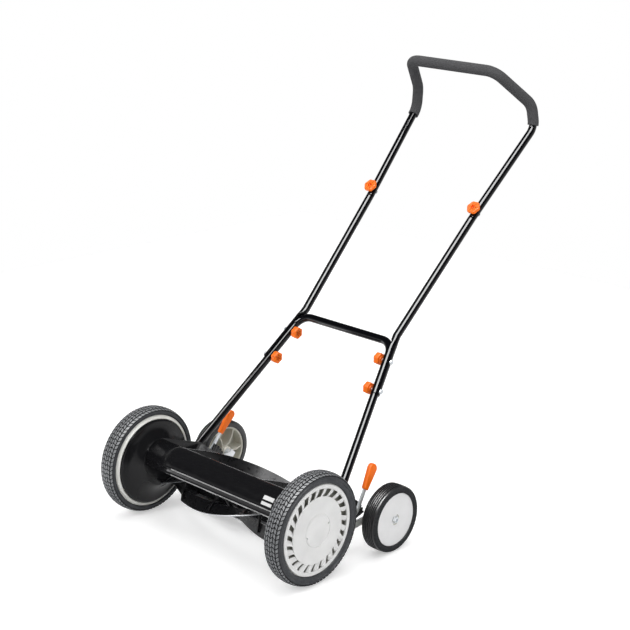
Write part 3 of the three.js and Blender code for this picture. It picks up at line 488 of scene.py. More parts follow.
# %% Plates, rods and solids put together
def plate_round(circles, inner, outer, points):
    """A flat plate stretched round circles of (back, up, radius), like a belt round pulleys."""
    shape = bmesh.new()
    for back, up, radius in circles:
        for station in (inner, outer):
            bmesh.ops.create_circle(shape, segments=points, radius=radius,
                                    matrix=across_at((station, back, up)))
    hull = bmesh.ops.convex_hull(shape, input=shape.verts)
    bmesh.ops.delete(shape, geom=verts_in(hull["geom_interior"]), context="VERTS")
    merge_flat(shape)
    return shape


def rod(place, radius, long, sides):
    shape = bmesh.new()
    bmesh.ops.create_cone(shape, cap_ends=True, segments=sides, radius1=radius, radius2=radius,
                          depth=long, matrix=place)
    return shape


def mixed(first, *others, how="UNION", flatten=True):
    """Join or cut solids with Blender's boolean modifier, and hand back the result."""
    for solid in (first, *others):
        face_out(solid)
    things = [placed("blank", mesh_of("blank", solid)) for solid in (first, *others)]
    for tool in things[1:]:
        step = things[0].modifiers.new("mix", "BOOLEAN")
        step.operation = how
        step.solver = "EXACT"
        step.object = tool
    ready = things[0].evaluated_get(bpy.context.evaluated_depsgraph_get())
    result = bmesh.new()
    result.from_mesh(ready.to_mesh())
    for thing in things:
        mesh = thing.data
        bpy.data.objects.remove(thing)
        bpy.data.meshes.remove(mesh)
    if flatten:
        merge_flat(result)
    return result


def gathered(first, *others):
    """Put separate solids of one piece into one mesh."""
    for other in others:
        face_out(other)
        spare = mesh_of("spare", other)
        first.from_mesh(spare)
        bpy.data.meshes.remove(spare)
    return first


# %% Bent tubes
DEGREES_A_STEP = 6
RING_GAP = 2


def bent_line(corners, radii):
    """Each bend of a tube's centre line: where it starts, its centre, its axis and its angle."""
    bends = []
    for before, corner, after, radius in zip(corners, corners[1:], corners[2:], radii):
        into = (corner - before).normalized()
        out = (after - corner).normalized()
        angle = into.angle(out)
        reach = radius * tan(angle / 2)
        centre = corner + (out - into).normalized() * radius / cos(angle / 2)
        bends.append((corner - into * reach, centre, into.cross(out).normalized(), angle))
    return bends


def extended(shape, ring):
    """Extrude a ring of edges: the new ring and its points, still where the old ones are."""
    moved = bmesh.ops.extrude_edge_only(shape, edges=ring)["geom"]
    verts = verts_in(moved)
    return [e for e in edges_in(moved) if all(v in verts for v in e.verts)], verts


def push(shape, ring, move):
    if move.length < 0.01:
        return ring
    ring, verts = extended(shape, ring)
    shift(shape, move, verts)
    return ring


def straight(shape, ring, move):
    """Push a ring on, with a ring close to each end, so that the shading stays straight too."""
    close = move.normalized() * RING_GAP
    parts = (close, move - 2 * close, close) if move.length > 4 * RING_GAP else (move,)
    for part in parts:
        ring = push(shape, ring, part)
    return ring


def skin_along(shape, corners, radii, radius, sides):
    """Draw one ring and push it along the line: extruded on the straights, spun in the bends."""
    first = (corners[1] - corners[0]).normalized()
    turn = UP.rotation_difference(first).to_matrix().to_4x4()
    made = bmesh.ops.create_circle(shape, segments=sides, radius=radius,
                                   matrix=Matrix.Translation(corners[0]) @ turn)
    start = edges_of(made["verts"])
    ring, here = start, corners[0]
    for begin, centre, axis, angle in bent_line(corners, radii):
        ring = straight(shape, ring, begin - here)
        spun = bmesh.ops.spin(
            shape, geom=ring + once(v for e in ring for v in e.verts), cent=centre, axis=axis,
            angle=angle, steps=max(3, round(degrees(angle) / DEGREES_A_STEP)),
        )
        ring = edges_in(spun["geom_last"])
        here = Matrix.Rotation(angle, 3, axis) @ (begin - centre) + centre
    return start, straight(shape, ring, corners[-1] - here)


def tube(corners, radii, outer, inner, sides=40):
    shape = bmesh.new()
    outside = skin_along(shape, corners, radii, outer, sides)
    inside = skin_along(shape, corners, radii, inner, sides)
    for near, far in zip(outside, inside):
        bmesh.ops.bridge_loops(shape, edges=near + far)
    return shape


# %% Handing a piece over
def shaded(mesh, sharp):
    mesh.shade_smooth()
    mesh.set_sharp_from_angle(angle=radians(sharp))


def piece(name, shape, paint, body, slot, *stands_for, sharp=38, others=()):
    """The others test a face's middle and normal; the first picks the second finish's faces."""
    weld(shape)
    face_out(shape)
    resize(shape, 0.001)
    shift(shape, (0, AXLE_BACK, 0))
    mesh = mesh_of(name, shape)
    shaded(mesh, sharp)
    for layer in paint if isinstance(paint, list) else [paint]:
        mesh.materials.append(layer)
    for index, chosen in enumerate(others, start=1):
        for wall in mesh.polygons:
            x, y, z = wall.center
            if chosen(Vector((1000 * x, 1000 * (y - AXLE_BACK), 1000 * z)), wall.normal):
                wall.material_index = index
    thing = placed(name, mesh)
    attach(thing, body)
    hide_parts(*stands_for)
    print(name, "measures", [round(1000 * side) for side in thing.dimensions], "mm")
    return thing


def both_sides(name, shape, paint, body, slot, node, **more):
    """The piece for the left, as drawn, and its mirror image for the right."""
    other = shape.copy()
    bmesh.ops.scale(other, vec=(-1, 1, 1), verts=other.verts)
    for side, form in (("left", shape), ("right", other)):
        rides = body if body in frame["bodies"] else f"{side}_{body}"
        piece(f"{side}_{name}", form, paint, rides, slot, f"{side}_{node}", **more)


def coat(name, paint):
    """Put a finish on a frame piece whose own shape is right."""
    mesh = frame["nodes"][name].data
    mesh.materials.clear()
    mesh.materials.append(paint)
    shaded(mesh, 30)


# %% [markdown]
# ## Handle tubes
#
# The handle is 19 mm steel tube in three parts. The lower part is one U with a crossbar, the
# middle parts have their feet pressed flat and curled round the legs of the U, and the upper
# part is a long closed loop whose two ends slip over the middle parts. A curve with a bevel
# would give a tube in one step, but the open ends, the wall and the pressed feet need a mesh, so
# a ring of edges is extruded along each straight and spun round each bend.

# %% The handle's corners
TUBE = 9.5
BORE = 8.1
SEAT = 0.3
leg_foot = Vector((227.4, 118, 133))
leg_top = Vector((143.5, 391, 427.5))
leg_run = (leg_top - leg_foot).normalized()
socket = Vector((159.7, 643.4, 685.6))
grip_foot = Vector((182.6, 839.2, 885.3))
grip_shoulder = Vector((175.5, 833, 940))
grip_corner = Vector((128.5, 740.6, 1020.8))
upper_run = (grip_foot - socket).normalized()


def across(point):
    return Vector((-point.x, point.y, point.z))


def there_and_back(points):
    return [*points, *(across(p) for p in reversed(points))]


def on_leg(back):
    return leg_foot.lerp(leg_top, (back - leg_foot.y) / (leg_top.y - leg_foot.y))


print("lower legs are", round((leg_top - leg_foot).length), "mm long")

# %% Lower tube with its crossbar
lower = tube(there_and_back([leg_foot - leg_run * 14, leg_top]), [38, 38], TUBE, BORE)
piece("lower_handle_tube", lower, tube_paint, "handle", "black_tube", "lower_tube")

# %% Upper tube, the loop that the hands hold
loop = there_and_back([socket + upper_run * 1.5, grip_foot, grip_shoulder, grip_corner])
loop_bends = [40, 45, 38, 38, 45, 40]
upper = soften(tube(loop, loop_bends, TUBE, BORE), 0.5, sharper_than=60)
piece("upper_handle_tube", upper, tube_paint, "handle", "black_tube", "upper_tube")

# %% [markdown]
# The foam grip is a thick soft sleeve pushed over the loop, so its line is the loop's own. Its
# right end stops where the tube's first bend starts. Its left end was pushed a little further
# round, and stops inside the bend. Both are cut square with a knife, which leaves a crisp edge.
# The skin is matte and finely pored, too small to model, so the finish carries the pores.

# %% Foam grip
SLEEVE = 13.4
PUSHED_ROUND = radians(20)
start, centre, axis, angle = bent_line(loop, loop_bends)[0]
part_way = Matrix.Rotation(angle - PUSHED_ROUND, 3, axis)
left_end = part_way @ (start - centre) + centre
left_corner = left_end + part_way @ upper_run * loop_bends[0] * tan(PUSHED_ROUND / 2)
right_end = across(start - upper_run * 2)
sleeve_line = [left_end, left_corner, *loop[2:-1], right_end]
sleeve = tube(sleeve_line, loop_bends, SLEEVE, TUBE + SEAT, sides=48)
soften(sleeve, 1.2, sharper_than=60, segments=3)
grip = piece("foam_sleeve", sleeve, grip_foam, "handle", "foam", "foam_grip")

# %% [markdown]
# The middle tube is the odd one. At its top a thinner neck runs up inside the loop's end. At its
# foot the round tube is pressed flat and curled round the outside of the leg, like a long
# shoehorn. It starts as a ring at the neck; each extruded ring is then reshaped, and a share
# that runs from 0 to 1 turns the round section into the curled one without a step.

# %% Middle tubes
CURL = radians(88)
CURL_IN = TUBE + SEAT
CURL_OUT = CURL_IN + 2.8
FOLD = 0.25
NECK = BORE - SEAT - 0.3
SADDLE = 122
PRESS_STEPS = 10
leg_outward = (ACROSS - leg_run * leg_run.x).normalized()
knee = on_leg(402.5) + leg_outward * 4.2
saddle_end = on_leg(301)


def curled(angle):
    """Where a point of the round tube goes when the tube is pressed and curled."""
    share = (pi - abs(angle)) if abs(angle) > pi / 2 else abs(angle)
    swing_to = copysign(share / (pi / 2) * CURL, angle)
    skin = max(-1, min(1, (abs(angle) - pi / 2) / FOLD))
    radius = (CURL_IN + CURL_OUT) / 2 - skin * (CURL_OUT - CURL_IN) / 2
    return radius * cos(swing_to), radius * sin(swing_to)


def middle_stations():
    """Each ring from neck to foot: its centre, its direction, how far pressed, its radius."""
    run = (socket - knee).normalized()
    stations = [(socket + upper_run * 40, upper_run, 0, NECK),
                (socket + upper_run, upper_run, 0, NECK), (socket, run, 0, TUBE - 0.6)]
    for place in (socket - run * 0.8, socket - run * 3, knee + run * 11):
        stations.append((place, run, 0, TUBE))
    for offset, share in ((8, 0), (0, 0.5), (-8, 1)):
        turn = run.lerp(leg_run, share).normalized()
        stations.append((knee + turn * offset, turn, 0, TUBE))
    top = saddle_end + leg_run * SADDLE
    last = knee - leg_run * 8
    for step in range(1, PRESS_STEPS + 1):
        share = step / PRESS_STEPS
        press = share * share * (3 - 2 * share)
        stations.append((last.lerp(top, share), leg_run, press, TUBE))
    for short in (1.5, 0):
        stations.append((saddle_end + leg_run * short, leg_run, 1, TUBE))
    return stations


def middle_tube(sides=48):
    shape = bmesh.new()
    verts = bmesh.ops.create_circle(shape, segments=sides, radius=TUBE)["verts"]
    ring = edges_of(verts)
    turns = {v: atan2(v.co.y, v.co.x) for v in verts}
    for index, (centre, along, press, radius) in enumerate(middle_stations()):
        if index:
            before = turns
            ring, fresh = extended(shape, ring)
            turns = {v: next(before[e.other_vert(v)] for e in v.link_edges
                             if e.other_vert(v) in before) for v in fresh}
        outward = (leg_outward - along * leg_outward.dot(along)).normalized()
        side = along.cross(outward)
        for v, angle in turns.items():
            x, y = curled(angle)
            x += (radius * cos(angle) - x) * (1 - press)
            y += (radius * sin(angle) - y) * (1 - press)
            v.co = centre + outward * x + side * y
        if index == 0:
            bmesh.ops.contextual_create(shape, geom=ring)
    bmesh.ops.contextual_create(shape, geom=ring)
    return shape


both_sides("middle_handle_tube", middle_tube(), tube_paint, "handle", "black_tube", "middle_tube")

# %% [markdown]
# ## Clamp bolts and knobs
#
# Six carriage bolts hold the handle together. Each ends in a moulded knob with six lobes that
# fingers can turn, and a small blind hole in its face. The knob is a circle whose points are
# pulled in between the lobes, extruded, and softened on its edges. The bolt is a lathe part. The
# two knobs of the loop are wider and flatter than the other four.

# %% Knob and bolt
LOBES = 6
LOBE = 1.1
HUB = 8
HUB_LONG = 3
BOLT = 3
BOLT_HEAD = 6


def knob(radius, long):
    """A knob drawn with its hub's face at the origin and its bolt along +Z."""
    shape = bmesh.new()
    made = bmesh.ops.create_circle(shape, segments=96, radius=radius, cap_ends=True)
    for v in made["verts"]:
        angle = atan2(v.co.y, v.co.x)
        v.co *= 1 - LOBE * (1 - cos(LOBES * angle)) * 0.75 / radius
    shift(shape, (0, 0, HUB_LONG))
    thicken(shape, shape.faces[:], (0, 0, long))
    soften(shape, 2.4, sharper_than=60, segments=4)
    crown = max(shape.faces, key=lambda f: f.calc_center_median().z)
    for inset, depth in ((1.8, -0.5), (5.8, 0), (0.4, -4)):
        bmesh.ops.inset_region(shape, faces=[crown], thickness=inset, depth=depth)
    hub = rod(Matrix.Translation((0, 0, (HUB_LONG + 1) / 2)), HUB, HUB_LONG + 1, 40)
    return gathered(shape, soften(hub, 0.5))


def bolt(length):
    """A round-headed bolt with its seat at the origin and its shank along +Z."""
    shape = bmesh.new()
    outline = [(0.0, -4.2), (2.6, -3.9), (4.6, -3.0), (5.7, -1.6),
               (BOLT_HEAD, -0.4), (BOLT_HEAD, 0.0), (BOLT, 0.0), (BOLT, length), (0.0, length)]
    line = chain(shape, [(radius, 0, along) for radius, along in outline])
    return full_turn(shape, line, (0, 0, 0), UP, 40)


# %% Six of each, where they belong
CLAMP_KNOB = (14.5, 14)
LOOP_KNOB = (16.8, 9)
FOOT_OUT = 12.86
CLAMP_SHANK_IN_KNOB = 6
LOOP_SHANK_IN_KNOB = 2
leg_lean = -leg_run.x / hypot(leg_run.y, leg_run.z)


def stand_off(skin, face):
    """How far from the leg's axis a flat round face clears the leaning leg."""
    return skin * hypot(1, leg_lean) + face * leg_lean + SEAT


for number, back in enumerate((359, 308), start=1):
    at = on_leg(back)
    head = at + ACROSS * stand_off(FOOT_OUT, BOLT_HEAD)
    face = at - ACROSS * stand_off(TUBE, HUB)
    shank = head.x - face.x + HUB_LONG + CLAMP_SHANK_IN_KNOB
    both_sides(f"carriage_bolt_{number}", aimed(bolt(shank), head, -ACROSS), zinc_plate,
               "handle", "zinc", f"clamp_bolt_{number}")
    both_sides(f"lobed_knob_{number}", aimed(knob(*CLAMP_KNOB), face, -ACROSS), orange_plastic,
               f"clamp_knob_{number}", "orange_plastic", f"clamp_knob_{number}")

clamp_run = Vector((0, -upper_run.z, upper_run.y)).normalized()
at = socket + upper_run * 20
head = at - clamp_run * (TUBE + SEAT)
face = at + clamp_run * (TUBE + SEAT)
shank = 2 * (TUBE + SEAT) + HUB_LONG + LOOP_SHANK_IN_KNOB
both_sides("loop_bolt", aimed(bolt(shank), head, clamp_run), zinc_plate, "handle", "zinc",
           "upper_bolt")
both_sides("loop_knob", aimed(knob(*LOOP_KNOB), face, clamp_run), orange_plastic, "upper_knob",
           "orange_plastic", "upper_knob")

# %% [markdown]
# ## Side plates
#
# Each side plate is a piece of 3.5 mm sheet steel, blanked in a press. Its outline is a belt
# round the places it has to hold: the tie tube, the reel's bearing, the handle's pivot, the
# knife and the height lever. So it is built as the machine is: a hull round each group of
# circles, and the hulls joined by a boolean. The wheel's stub axle is welded on.

# %% Side plates
PLATE_IN = 207
PLATE_OUT = 210.5
STUB = 16
STUB_OUT = PLATE_OUT + 3.5
AXLE = 8
AXLE_END = 279
REEL_DROP = 30.5
REEL_AXIS = (sqrt(70 ** 2 - REEL_DROP ** 2), AXLE_UP - REEL_DROP)
REEL = 75
knife = round_point(REEL_AXIS, REEL + 0.6, radians(282))
tie = (-12, AXLE_UP + 23)
pivot = (150, AXLE_UP - 59)
bearing = (*REEL_AXIS, 40)
ear = (118, AXLE_UP + 6, 18)
toe = (knife[0] + 4.5, knife[1] - 8.5, 9)
heel = (knife[0] + 38, knife[1] - 8, 8)

outline = mixed(
    plate_round([(*tie, 46), bearing, ear], PLATE_IN, PLATE_OUT, 72),
    plate_round([bearing, toe, heel], PLATE_IN, PLATE_OUT, 56),
    plate_round([heel, (*pivot, 17), ear], PLATE_IN, PLATE_OUT, 56),
)
soften(outline, 0.5, sharper_than=60)
stub = turned([(0, PLATE_OUT - 1), (STUB, PLATE_OUT - 1), (STUB, STUB_OUT), (AXLE, STUB_OUT),
               (AXLE, AXLE_END - 1), (AXLE - 1, AXLE_END), (0, AXLE_END)], FRONT_AXLE, 48)
both_sides("pressed_plate", gathered(outline, stub), gloss_paint, "frame", "black_paint",
           "side_plate")
print("reel axis, mm behind the axle and above the ground:", [round(way, 1) for way in REEL_AXIS])

# %% [markdown]
# ## Front cover and tie tube
#
# The cover is one long bent sheet. Its top edge is folded back on itself, which is called a hem.
# Near its lower edge two small ridges run the whole way with a flat channel between them, which
# stiffen it and catch the light as two thin lines; their crests are also painted pale grey as
# painted highlight, but for the far end's.
# The bent section is drawn as a chain of points round the tie tube, each with its angle and its
# distance from the main curve. It is pushed out to the full width, and given its thickness by a
# Solidify modifier. The place where such machines carry a label stays bare, but for two plain
# pale bars by the near wheel.

# %% Front cover
COVER = 45
COVER_SHEET = 1.6
SPAN = PLATE_IN - SEAT
BARS_FROM = 166
BARS_TO = 196
BARS = ((131, 143), (149, 158))
RIDGES = ((165.6, 168.7), (182.5, 185.7))
HIGHLIGHT_FROM = -118
HEM = [(92, -3.2), (88, -3.2), (84, -3.2), (79, -2.6), (78.6, -1.6), (79, -0.6)]
CURVE = [(angle, 0) for angle in range(80, 164, 3)]
RIDGE = [(164.5, 0.0), (165.4, 0.5), (166.4, 0.9), (167.6, 1.0), (168.6, 0.6), (169.4, -0.2)]
CHANNEL = [(170.5, -0.9), (173.5, -1.0), (177.0, -1.0), (180.0, -0.8)]
LIP = [(181.2, -0.1), (182.4, 0.9), (184.0, 1.2), (185.6, 0.7), (186.6, -0.8), (186.6, -2.4),
       (185.4, -3.6), (183.6, -3.9)]


def on_cover(angle, out):
    return -SPAN, *round_point(tie, COVER + out, radians(angle))


def front_cover():
    shape = bmesh.new()
    section = HEM + CURVE + RIDGE + CHANNEL + LIP
    line = edges_in(chain(shape, [on_cover(*point) for point in section]))
    pushed = bmesh.ops.extrude_edge_only(shape, edges=line)["geom"]
    shift(shape, (2 * SPAN, 0, 0), verts_in(pushed))
    for station in (HIGHLIGHT_FROM, BARS_FROM, BARS_TO):
        bmesh.ops.bisect_plane(shape, geom=everything(shape), plane_co=(station, 0, 0),
                               plane_no=ACROSS)
    return shape


def turn_at(at):
    return degrees(atan2(at.z - tie[1], at.y - tie[0]))


def on_bars(at, _):
    return BARS_FROM < at.x < BARS_TO and any(low < turn_at(at) < high for low, high in BARS)


# Faces on the ridges' crests, but for the far end, get the painted highlight.
def on_ridge_highlights(at, _):
    return at.x > HIGHLIGHT_FROM and any(low < turn_at(at) % 360 < high for low, high in RIDGES)


cover = piece("curved_front_cover", front_cover(), [gloss_paint, bar_paint, painted_highlight_paint], "frame",
              "black_paint", "front_cover", sharp=50, others=[on_bars, on_ridge_highlights])
thickness = cover.modifiers.new("sheet", "SOLIDIFY")
thickness.thickness = COVER_SHEET / 1000
thickness.offset = -1

# %% Tie tube inside the cover
ends = [Vector((-SPAN, *tie)), Vector((SPAN, *tie))]
piece("round_tie_tube", tube(ends, [], 12, 10, 48), gloss_paint, "frame", "black_paint",
      "tie_tube")

# %% [markdown]
# ## Reel
#
# Five steel blades wind round the reel as screws do, a third of a turn from end to end, so that
# one point at a time shears against the knife. bmesh's spin can climb along its axis while it
# turns, which is a screw. The blade is a thin upright section, spun through the twist with a
# step along X each time. Its outer edge is ground bright, so those faces get their own finish.

# %% Blades
BLADES = 5
BLADE_IN = REEL - 32
BLADE_HALF = 1.3
TWIST = -118
FIRST = 260.5
CUT = 406
STEPS = 58


def blade(index):
    section = [(BLADE_IN, -BLADE_HALF), (REEL - 1.1, -BLADE_HALF), (REEL - 0.2, BLADE_HALF - 1.0),
               (REEL - 0.05, BLADE_HALF), (BLADE_IN, BLADE_HALF)]
    shape = bmesh.new()
    back, up = REEL_AXIS
    face = shape.faces.new([
        shape.verts.new((-CUT / 2, back + out, up + aside)) for out, aside in section])
    swing(shape, face.verts, FIRST + 360 / BLADES * index, REEL_AXIS)
    bmesh.ops.spin(shape, geom=[face], cent=(0, back, up), axis=ACROSS,
                   dvec=(CUT / STEPS, 0, 0), angle=radians(TWIST), steps=STEPS)
    return shape


def on_ground_edge(at, normal):
    reach = hypot(at.y - REEL_AXIS[0], at.z - REEL_AXIS[1])
    return reach > REEL - 1.2 and abs(normal.x) < 0.9


for index in range(BLADES):
    piece(f"screw_blade_{index + 1}", blade(index), [reel_paint, ground_steel], "reel",
          "blade_paint", f"reel_blade_{index + 1}", sharp=30, others=[on_ground_edge])

# %% [markdown]
# The spiders carry the blades on the shaft. Each is a hub with five arms that reach up the backs
# of the blades. The shaft itself, the bearings, the pinions and the knife keep the frame's own
# shape, which is right as it is, and only take a finish.

# %% Spiders
SPIDERS = 4
SPIDER_IN = 12
ARM = [(12.5, -14.5), (12.5, -2.1), (REEL - 9, -2.1), (REEL - 9, -6.3), (40, -8.6)]


def spider_arm(index):
    arm = bmesh.new()
    face = arm.faces.new([arm.verts.new((-1.5, out, aside)) for out, aside in ARM])
    thicken(arm, [face], (3, 0, 0))
    face_out(arm)
    soften(arm, 0.5, sharper_than=50)
    swing(arm, arm.verts, 360 / BLADES * index, (0, 0))
    return arm


def spider(station):
    hub = [(8.3, -5.5), (13.6, -5.5), (15, -4.1), (15, 4.1), (13.6, 5.5), (8.3, 5.5)]
    shape = gathered(turned(closed(hub), (0, 0), 48), *map(spider_arm, range(BLADES)))
    swing(shape, shape.verts, FIRST + TWIST * (station + CUT / 2) / CUT, (0, 0))
    shift(shape, (station, *REEL_AXIS))
    return shape


for index in range(SPIDERS):
    station = -CUT / 2 + SPIDER_IN + index * (CUT - 2 * SPIDER_IN) / (SPIDERS - 1)
    piece(f"five_armed_spider_{index + 1}", spider(station), reel_paint, "reel", "blade_paint",
          f"reel_spider_{index + 1}")

# %% Shaft, bearings, pinions, knife and its bar
coat("reel_shaft", ground_steel)
coat("bed_knife", ground_steel)
coat("cutter_bar", gloss_paint)
for side in ("left", "right"):
    coat(f"{side}_pinion", ground_steel)
    for name in ("reel_bearing", "lever_bolt", "handle_bolt"):
        coat(f"{side}_{name}", zinc_plate)
print("kept from the frame:", sum(not node.hide_render for node in frame["nodes"].values()))

# %% [markdown]
# ## Front wheels
#
# A front wheel is one moulding with a ring gear inside its rim. A pinion on the reel's shaft
# runs in the gear, so the reel turns five times as fast as the wheel. The body is a lathe shape.
# The gear's teeth are drawn as a ring whose points are pulled in and out four to a tooth, then
# pushed along the axle and joined to a plain ring behind. The deep face of the web behind the
# cover is painted darker, as painted shade, and gets its own finish.

# %% Wheel body and ring gear
RIM_OUT = 281
DISC_OUT = 273.5
WHEEL = 103.8
AXLE_HOLE = 8.3
RING = 87.5
TOOTH = 4.375
RING_TEETH, PINION_TEETH = 40, 8
GEAR_FROM, GEAR_TO, GEAR_BACK = 250, 268, 95


def ring_gear():
    shape = bmesh.new()
    made = bmesh.ops.create_circle(shape, segments=4 * RING_TEETH, radius=1,
                                   matrix=across_at((GEAR_FROM, *FRONT_AXLE)))
    mesh_line = atan2(-REEL_DROP, REEL_AXIS[0])
    pitch = 2 * pi / RING_TEETH
    root, tip = RING + 1.1 * TOOTH, RING - 0.6 * TOOTH
    steps = [(root, -3.85), (tip, -1.92), (tip, 1.92), (root, 3.85)]
    ordered = sorted(made["verts"], key=lambda v: atan2(v.co.z - AXLE_UP, v.co.y))
    for number, vert in enumerate(ordered):
        reach, aside = steps[number % 4]
        angle = mesh_line + pitch * (number // 4) + aside / reach
        vert.co = (GEAR_FROM, *round_point(FRONT_AXLE, reach, angle))
    ring = start = edges_of(made["verts"])
    for along in (GEAR_TO - GEAR_FROM, 0, GEAR_FROM - GEAR_TO):
        ring, fresh = extended(shape, ring)
        shift(shape, (along, 0, 0), fresh)
        if along == 0:
            for v in fresh:
                reach = hypot(v.co.y, v.co.z - AXLE_UP)
                v.co.y *= GEAR_BACK / reach
                v.co.z = AXLE_UP + (v.co.z - AXLE_UP) * GEAR_BACK / reach
    bmesh.ops.bridge_loops(shape, edges=start + ring)
    return shape


def wheel_body():
    seat = WHEEL - SEAT
    return turned(closed([
        (AXLE_HOLE, 246), (STUB, 246), (STUB, 270), (94.3, 270), (94.3, 250), (102.5, 245.2),
        (102.5, 242.4), (103.2, 242.1), (110.2, 247.4), (110.4, 248.2), (109.8, 248.6),
        (seat, 250.5), (seat, RIM_OUT), (seat - 4.5, RIM_OUT), (seat - 4.5, DISC_OUT),
        (STUB, DISC_OUT), (STUB, RIM_OUT), (AXLE_HOLE, RIM_OUT)]), FRONT_AXLE, 96)


# The web's face in the wheel's hollow takes the darker finish, as painted shade.
def on_painted_shade_web(at, normal):
    return abs(normal.x) > 0.9 and DISC_OUT - 1.5 < abs(at.x) < DISC_OUT + 1.5


both_sides("geared_wheel", gathered(wheel_body(), ring_gear()), [rim_plastic, painted_shade_plastic],
           "front_wheel", "cream_plastic", "front_wheel", sharp=32, others=[on_painted_shade_web])
print("gear turns the reel", RING_TEETH // PINION_TEETH, "times for each turn of the wheel")

# %% [markdown]
# The wheel cover is the part that everyone sees: a flat moulded disc with 24 slots between
# slanted vanes, like a fan's. Each vane starts level with the face and slopes inwards to the
# next slot, so the light catches its face on one side of the wheel and leaves the slots dark on
# the other. One vane is drawn and spun round as copies. Two small holes by the dome, where the
# cover is held while it is fitted, are cut with a boolean.

# %% Slotted wheel cover
SLOTS = 24
COVER_FACE = RIM_OUT + SEAT + 3
COVER_BACK = COVER_FACE - 2.4
SLOT_OUT = 93
SLOT_IN = 76
SLOT_LAP = 1.5
VANE_DEEP, VANE_LEVEL, VANE_HALF, VANE_LEAN, VANE_STEPS, VANE_SHEET = 3.6, 0.3, 6.8, 9.0, 5, 1.7
HOLES_AT = (14, 194)


def vane():
    shape = bmesh.new()
    outer, inner = SLOT_OUT + SLOT_LAP, SLOT_IN - SLOT_LAP
    low_edge, high_edge = [], []
    for step in range(VANE_STEPS + 1):
        share = step / VANE_STEPS
        reach = outer + (inner - outer) * share
        swept = VANE_LEAN * share ** 1.7
        narrow = reach / outer
        for edge, half, depth in ((low_edge, -VANE_HALF, VANE_DEEP),
                                  (high_edge, VANE_HALF, VANE_LEVEL)):
            point = round_point(FRONT_AXLE, reach, (half * narrow + swept) / reach)
            edge.append(shape.verts.new((COVER_FACE - depth, *point)))
    for step in range(VANE_STEPS):
        shape.faces.new([low_edge[step], high_edge[step], high_edge[step + 1], low_edge[step + 1]])
    thicken(shape, shape.faces[:], (-VANE_SHEET, 0, 0))
    face_out(shape)
    soften(shape, 0.45, sharper_than=50)
    return repeated(shape, SLOTS, FRONT_AXLE)


def cover_disc():
    face = COVER_FACE
    disc = turned([(0, COVER_BACK), (SLOT_IN, COVER_BACK), (SLOT_IN, face - 0.5),
                   (SLOT_IN - 0.5, face), (38.6, face), (38.1, face - 0.8), (37.4, face - 0.8),
                   (36.6, face + 0.1), (35.2, face + 0.6), (34.2, face + 0.95),
                   (32.6, face + 1.05), (20, face + 1.1), (0, face + 1.15)], FRONT_AXLE, 96)
    holes = []
    for angle in HOLES_AT:
        at = (face, *round_point(FRONT_AXLE, 34, radians(angle)))
        holes.append(rod(across_at(at), 1.9, 10, 20))
    return mixed(disc, *holes, how="DIFFERENCE", flatten=False)


def rim_ring():
    face, edge = COVER_FACE, WHEEL - 1.7
    return turned(closed([
        (SLOT_OUT, COVER_BACK), (edge, COVER_BACK), (edge, face - 0.7), (edge - 0.3, face - 0.2),
        (edge - 0.8, face), (SLOT_OUT + 0.5, face), (SLOT_OUT, face - 0.5)]), FRONT_AXLE, 96)


both_sides("slotted_wheel_cover", gathered(cover_disc(), rim_ring(), vane()), cover_plastic,
           "front_wheel", "grey_plastic", "wheel_cover", sharp=30)

# %% [markdown]
# ## Front tyres
#
# The tyre is solid rubber with a block tread. A full block pattern could be modelled one block
# at a time, but spin makes a clean grid of faces, and that is enough: alternate rings of the
# tread are turned by half a block, which slants the faces into a zigzag, and inset_individual
# then raises each face into a block with a gap round it.

# %% Treaded tyre
TREAD_BLOCKS = 76
SHOULDER = 119.4
SHOULDERS_AT = (246.0, 285.8)
TREAD_ROWS = [(252.6, 122.6), (259.4, 123.7), (265.9, 124.05), (272.4, 123.7), (279.2, 122.6)]


def treaded_tyre():
    inner, outer = SHOULDERS_AT
    profile = [(WHEEL, 251.0), (111.4, 250.0), (111.6, 246.4), (112.6, 245.2), (116.0, 244.8),
               (SHOULDER, inner), *((radius, station) for station, radius in TREAD_ROWS),
               (SHOULDER, outer), (118.2, 286.5), (116.6, 286.6), (115.6, 286.7), (115.2, 287.3),
               (114.6, 287.6), (113.9, 287.3), (113.5, 286.6), (110.0, 286.4), (106.6, 285.9),
               (104.6, 284.8), (103.9, 283.6), (WHEEL, 282.4)]
    shape = turned(closed(profile), FRONT_AXLE, TREAD_BLOCKS)
    half_block = 180 / TREAD_BLOCKS

    def reach(point):
        return hypot(point.y, point.z - AXLE_UP)

    rings = [(inner, SHOULDER), *TREAD_ROWS, (outer, SHOULDER)]
    for number, (station, radius) in enumerate(rings):
        ring = [v for v in shape.verts
                if abs(v.co.x - station) < 0.05 and abs(reach(v.co) - radius) < 0.3]
        swing(shape, ring, half_block if number % 2 else -half_block * 0.1, FRONT_AXLE)
    face_out(shape)
    tread = [wall for wall in shape.faces
             if reach(wall.calc_center_median()) > 120.3 and len(wall.verts) == 4]
    raised = bmesh.ops.inset_individual(shape, faces=tread, thickness=0.95, depth=2.9,
                                        use_even_offset=True)
    # The blocks' walls take the darker rubber as painted shade, and their tops the lighter rubber
    # as painted highlight.
    for walls, index in ((raised["faces"], 1), (tread, 2)):
        for wall in walls:
            wall.material_index = index
    return shape


both_sides("treaded_tyre", treaded_tyre(), [tread_rubber, matte_shade_rubber, painted_highlight_rubber],
           "front_wheel", "tyre_rubber", "front_tyre", sharp=28)

# %% [markdown]
# ## Dust covers
#
# A dished steel cover closes the inner side of each wheel, so that cut grass stays out of the
# gear. It stands still while the wheel turns round its rim. From the front the far one shows as
# a deep gloss black dish. It is a lathe shape with a hole for the reel's shaft.

# %% Dust covers
DISH_IN, DISH_SHELF, DISH_LIP, DISH_SHEET = 210.8, 240.0, 243.0, 1.6
SHAFT_HOLE = 9.3


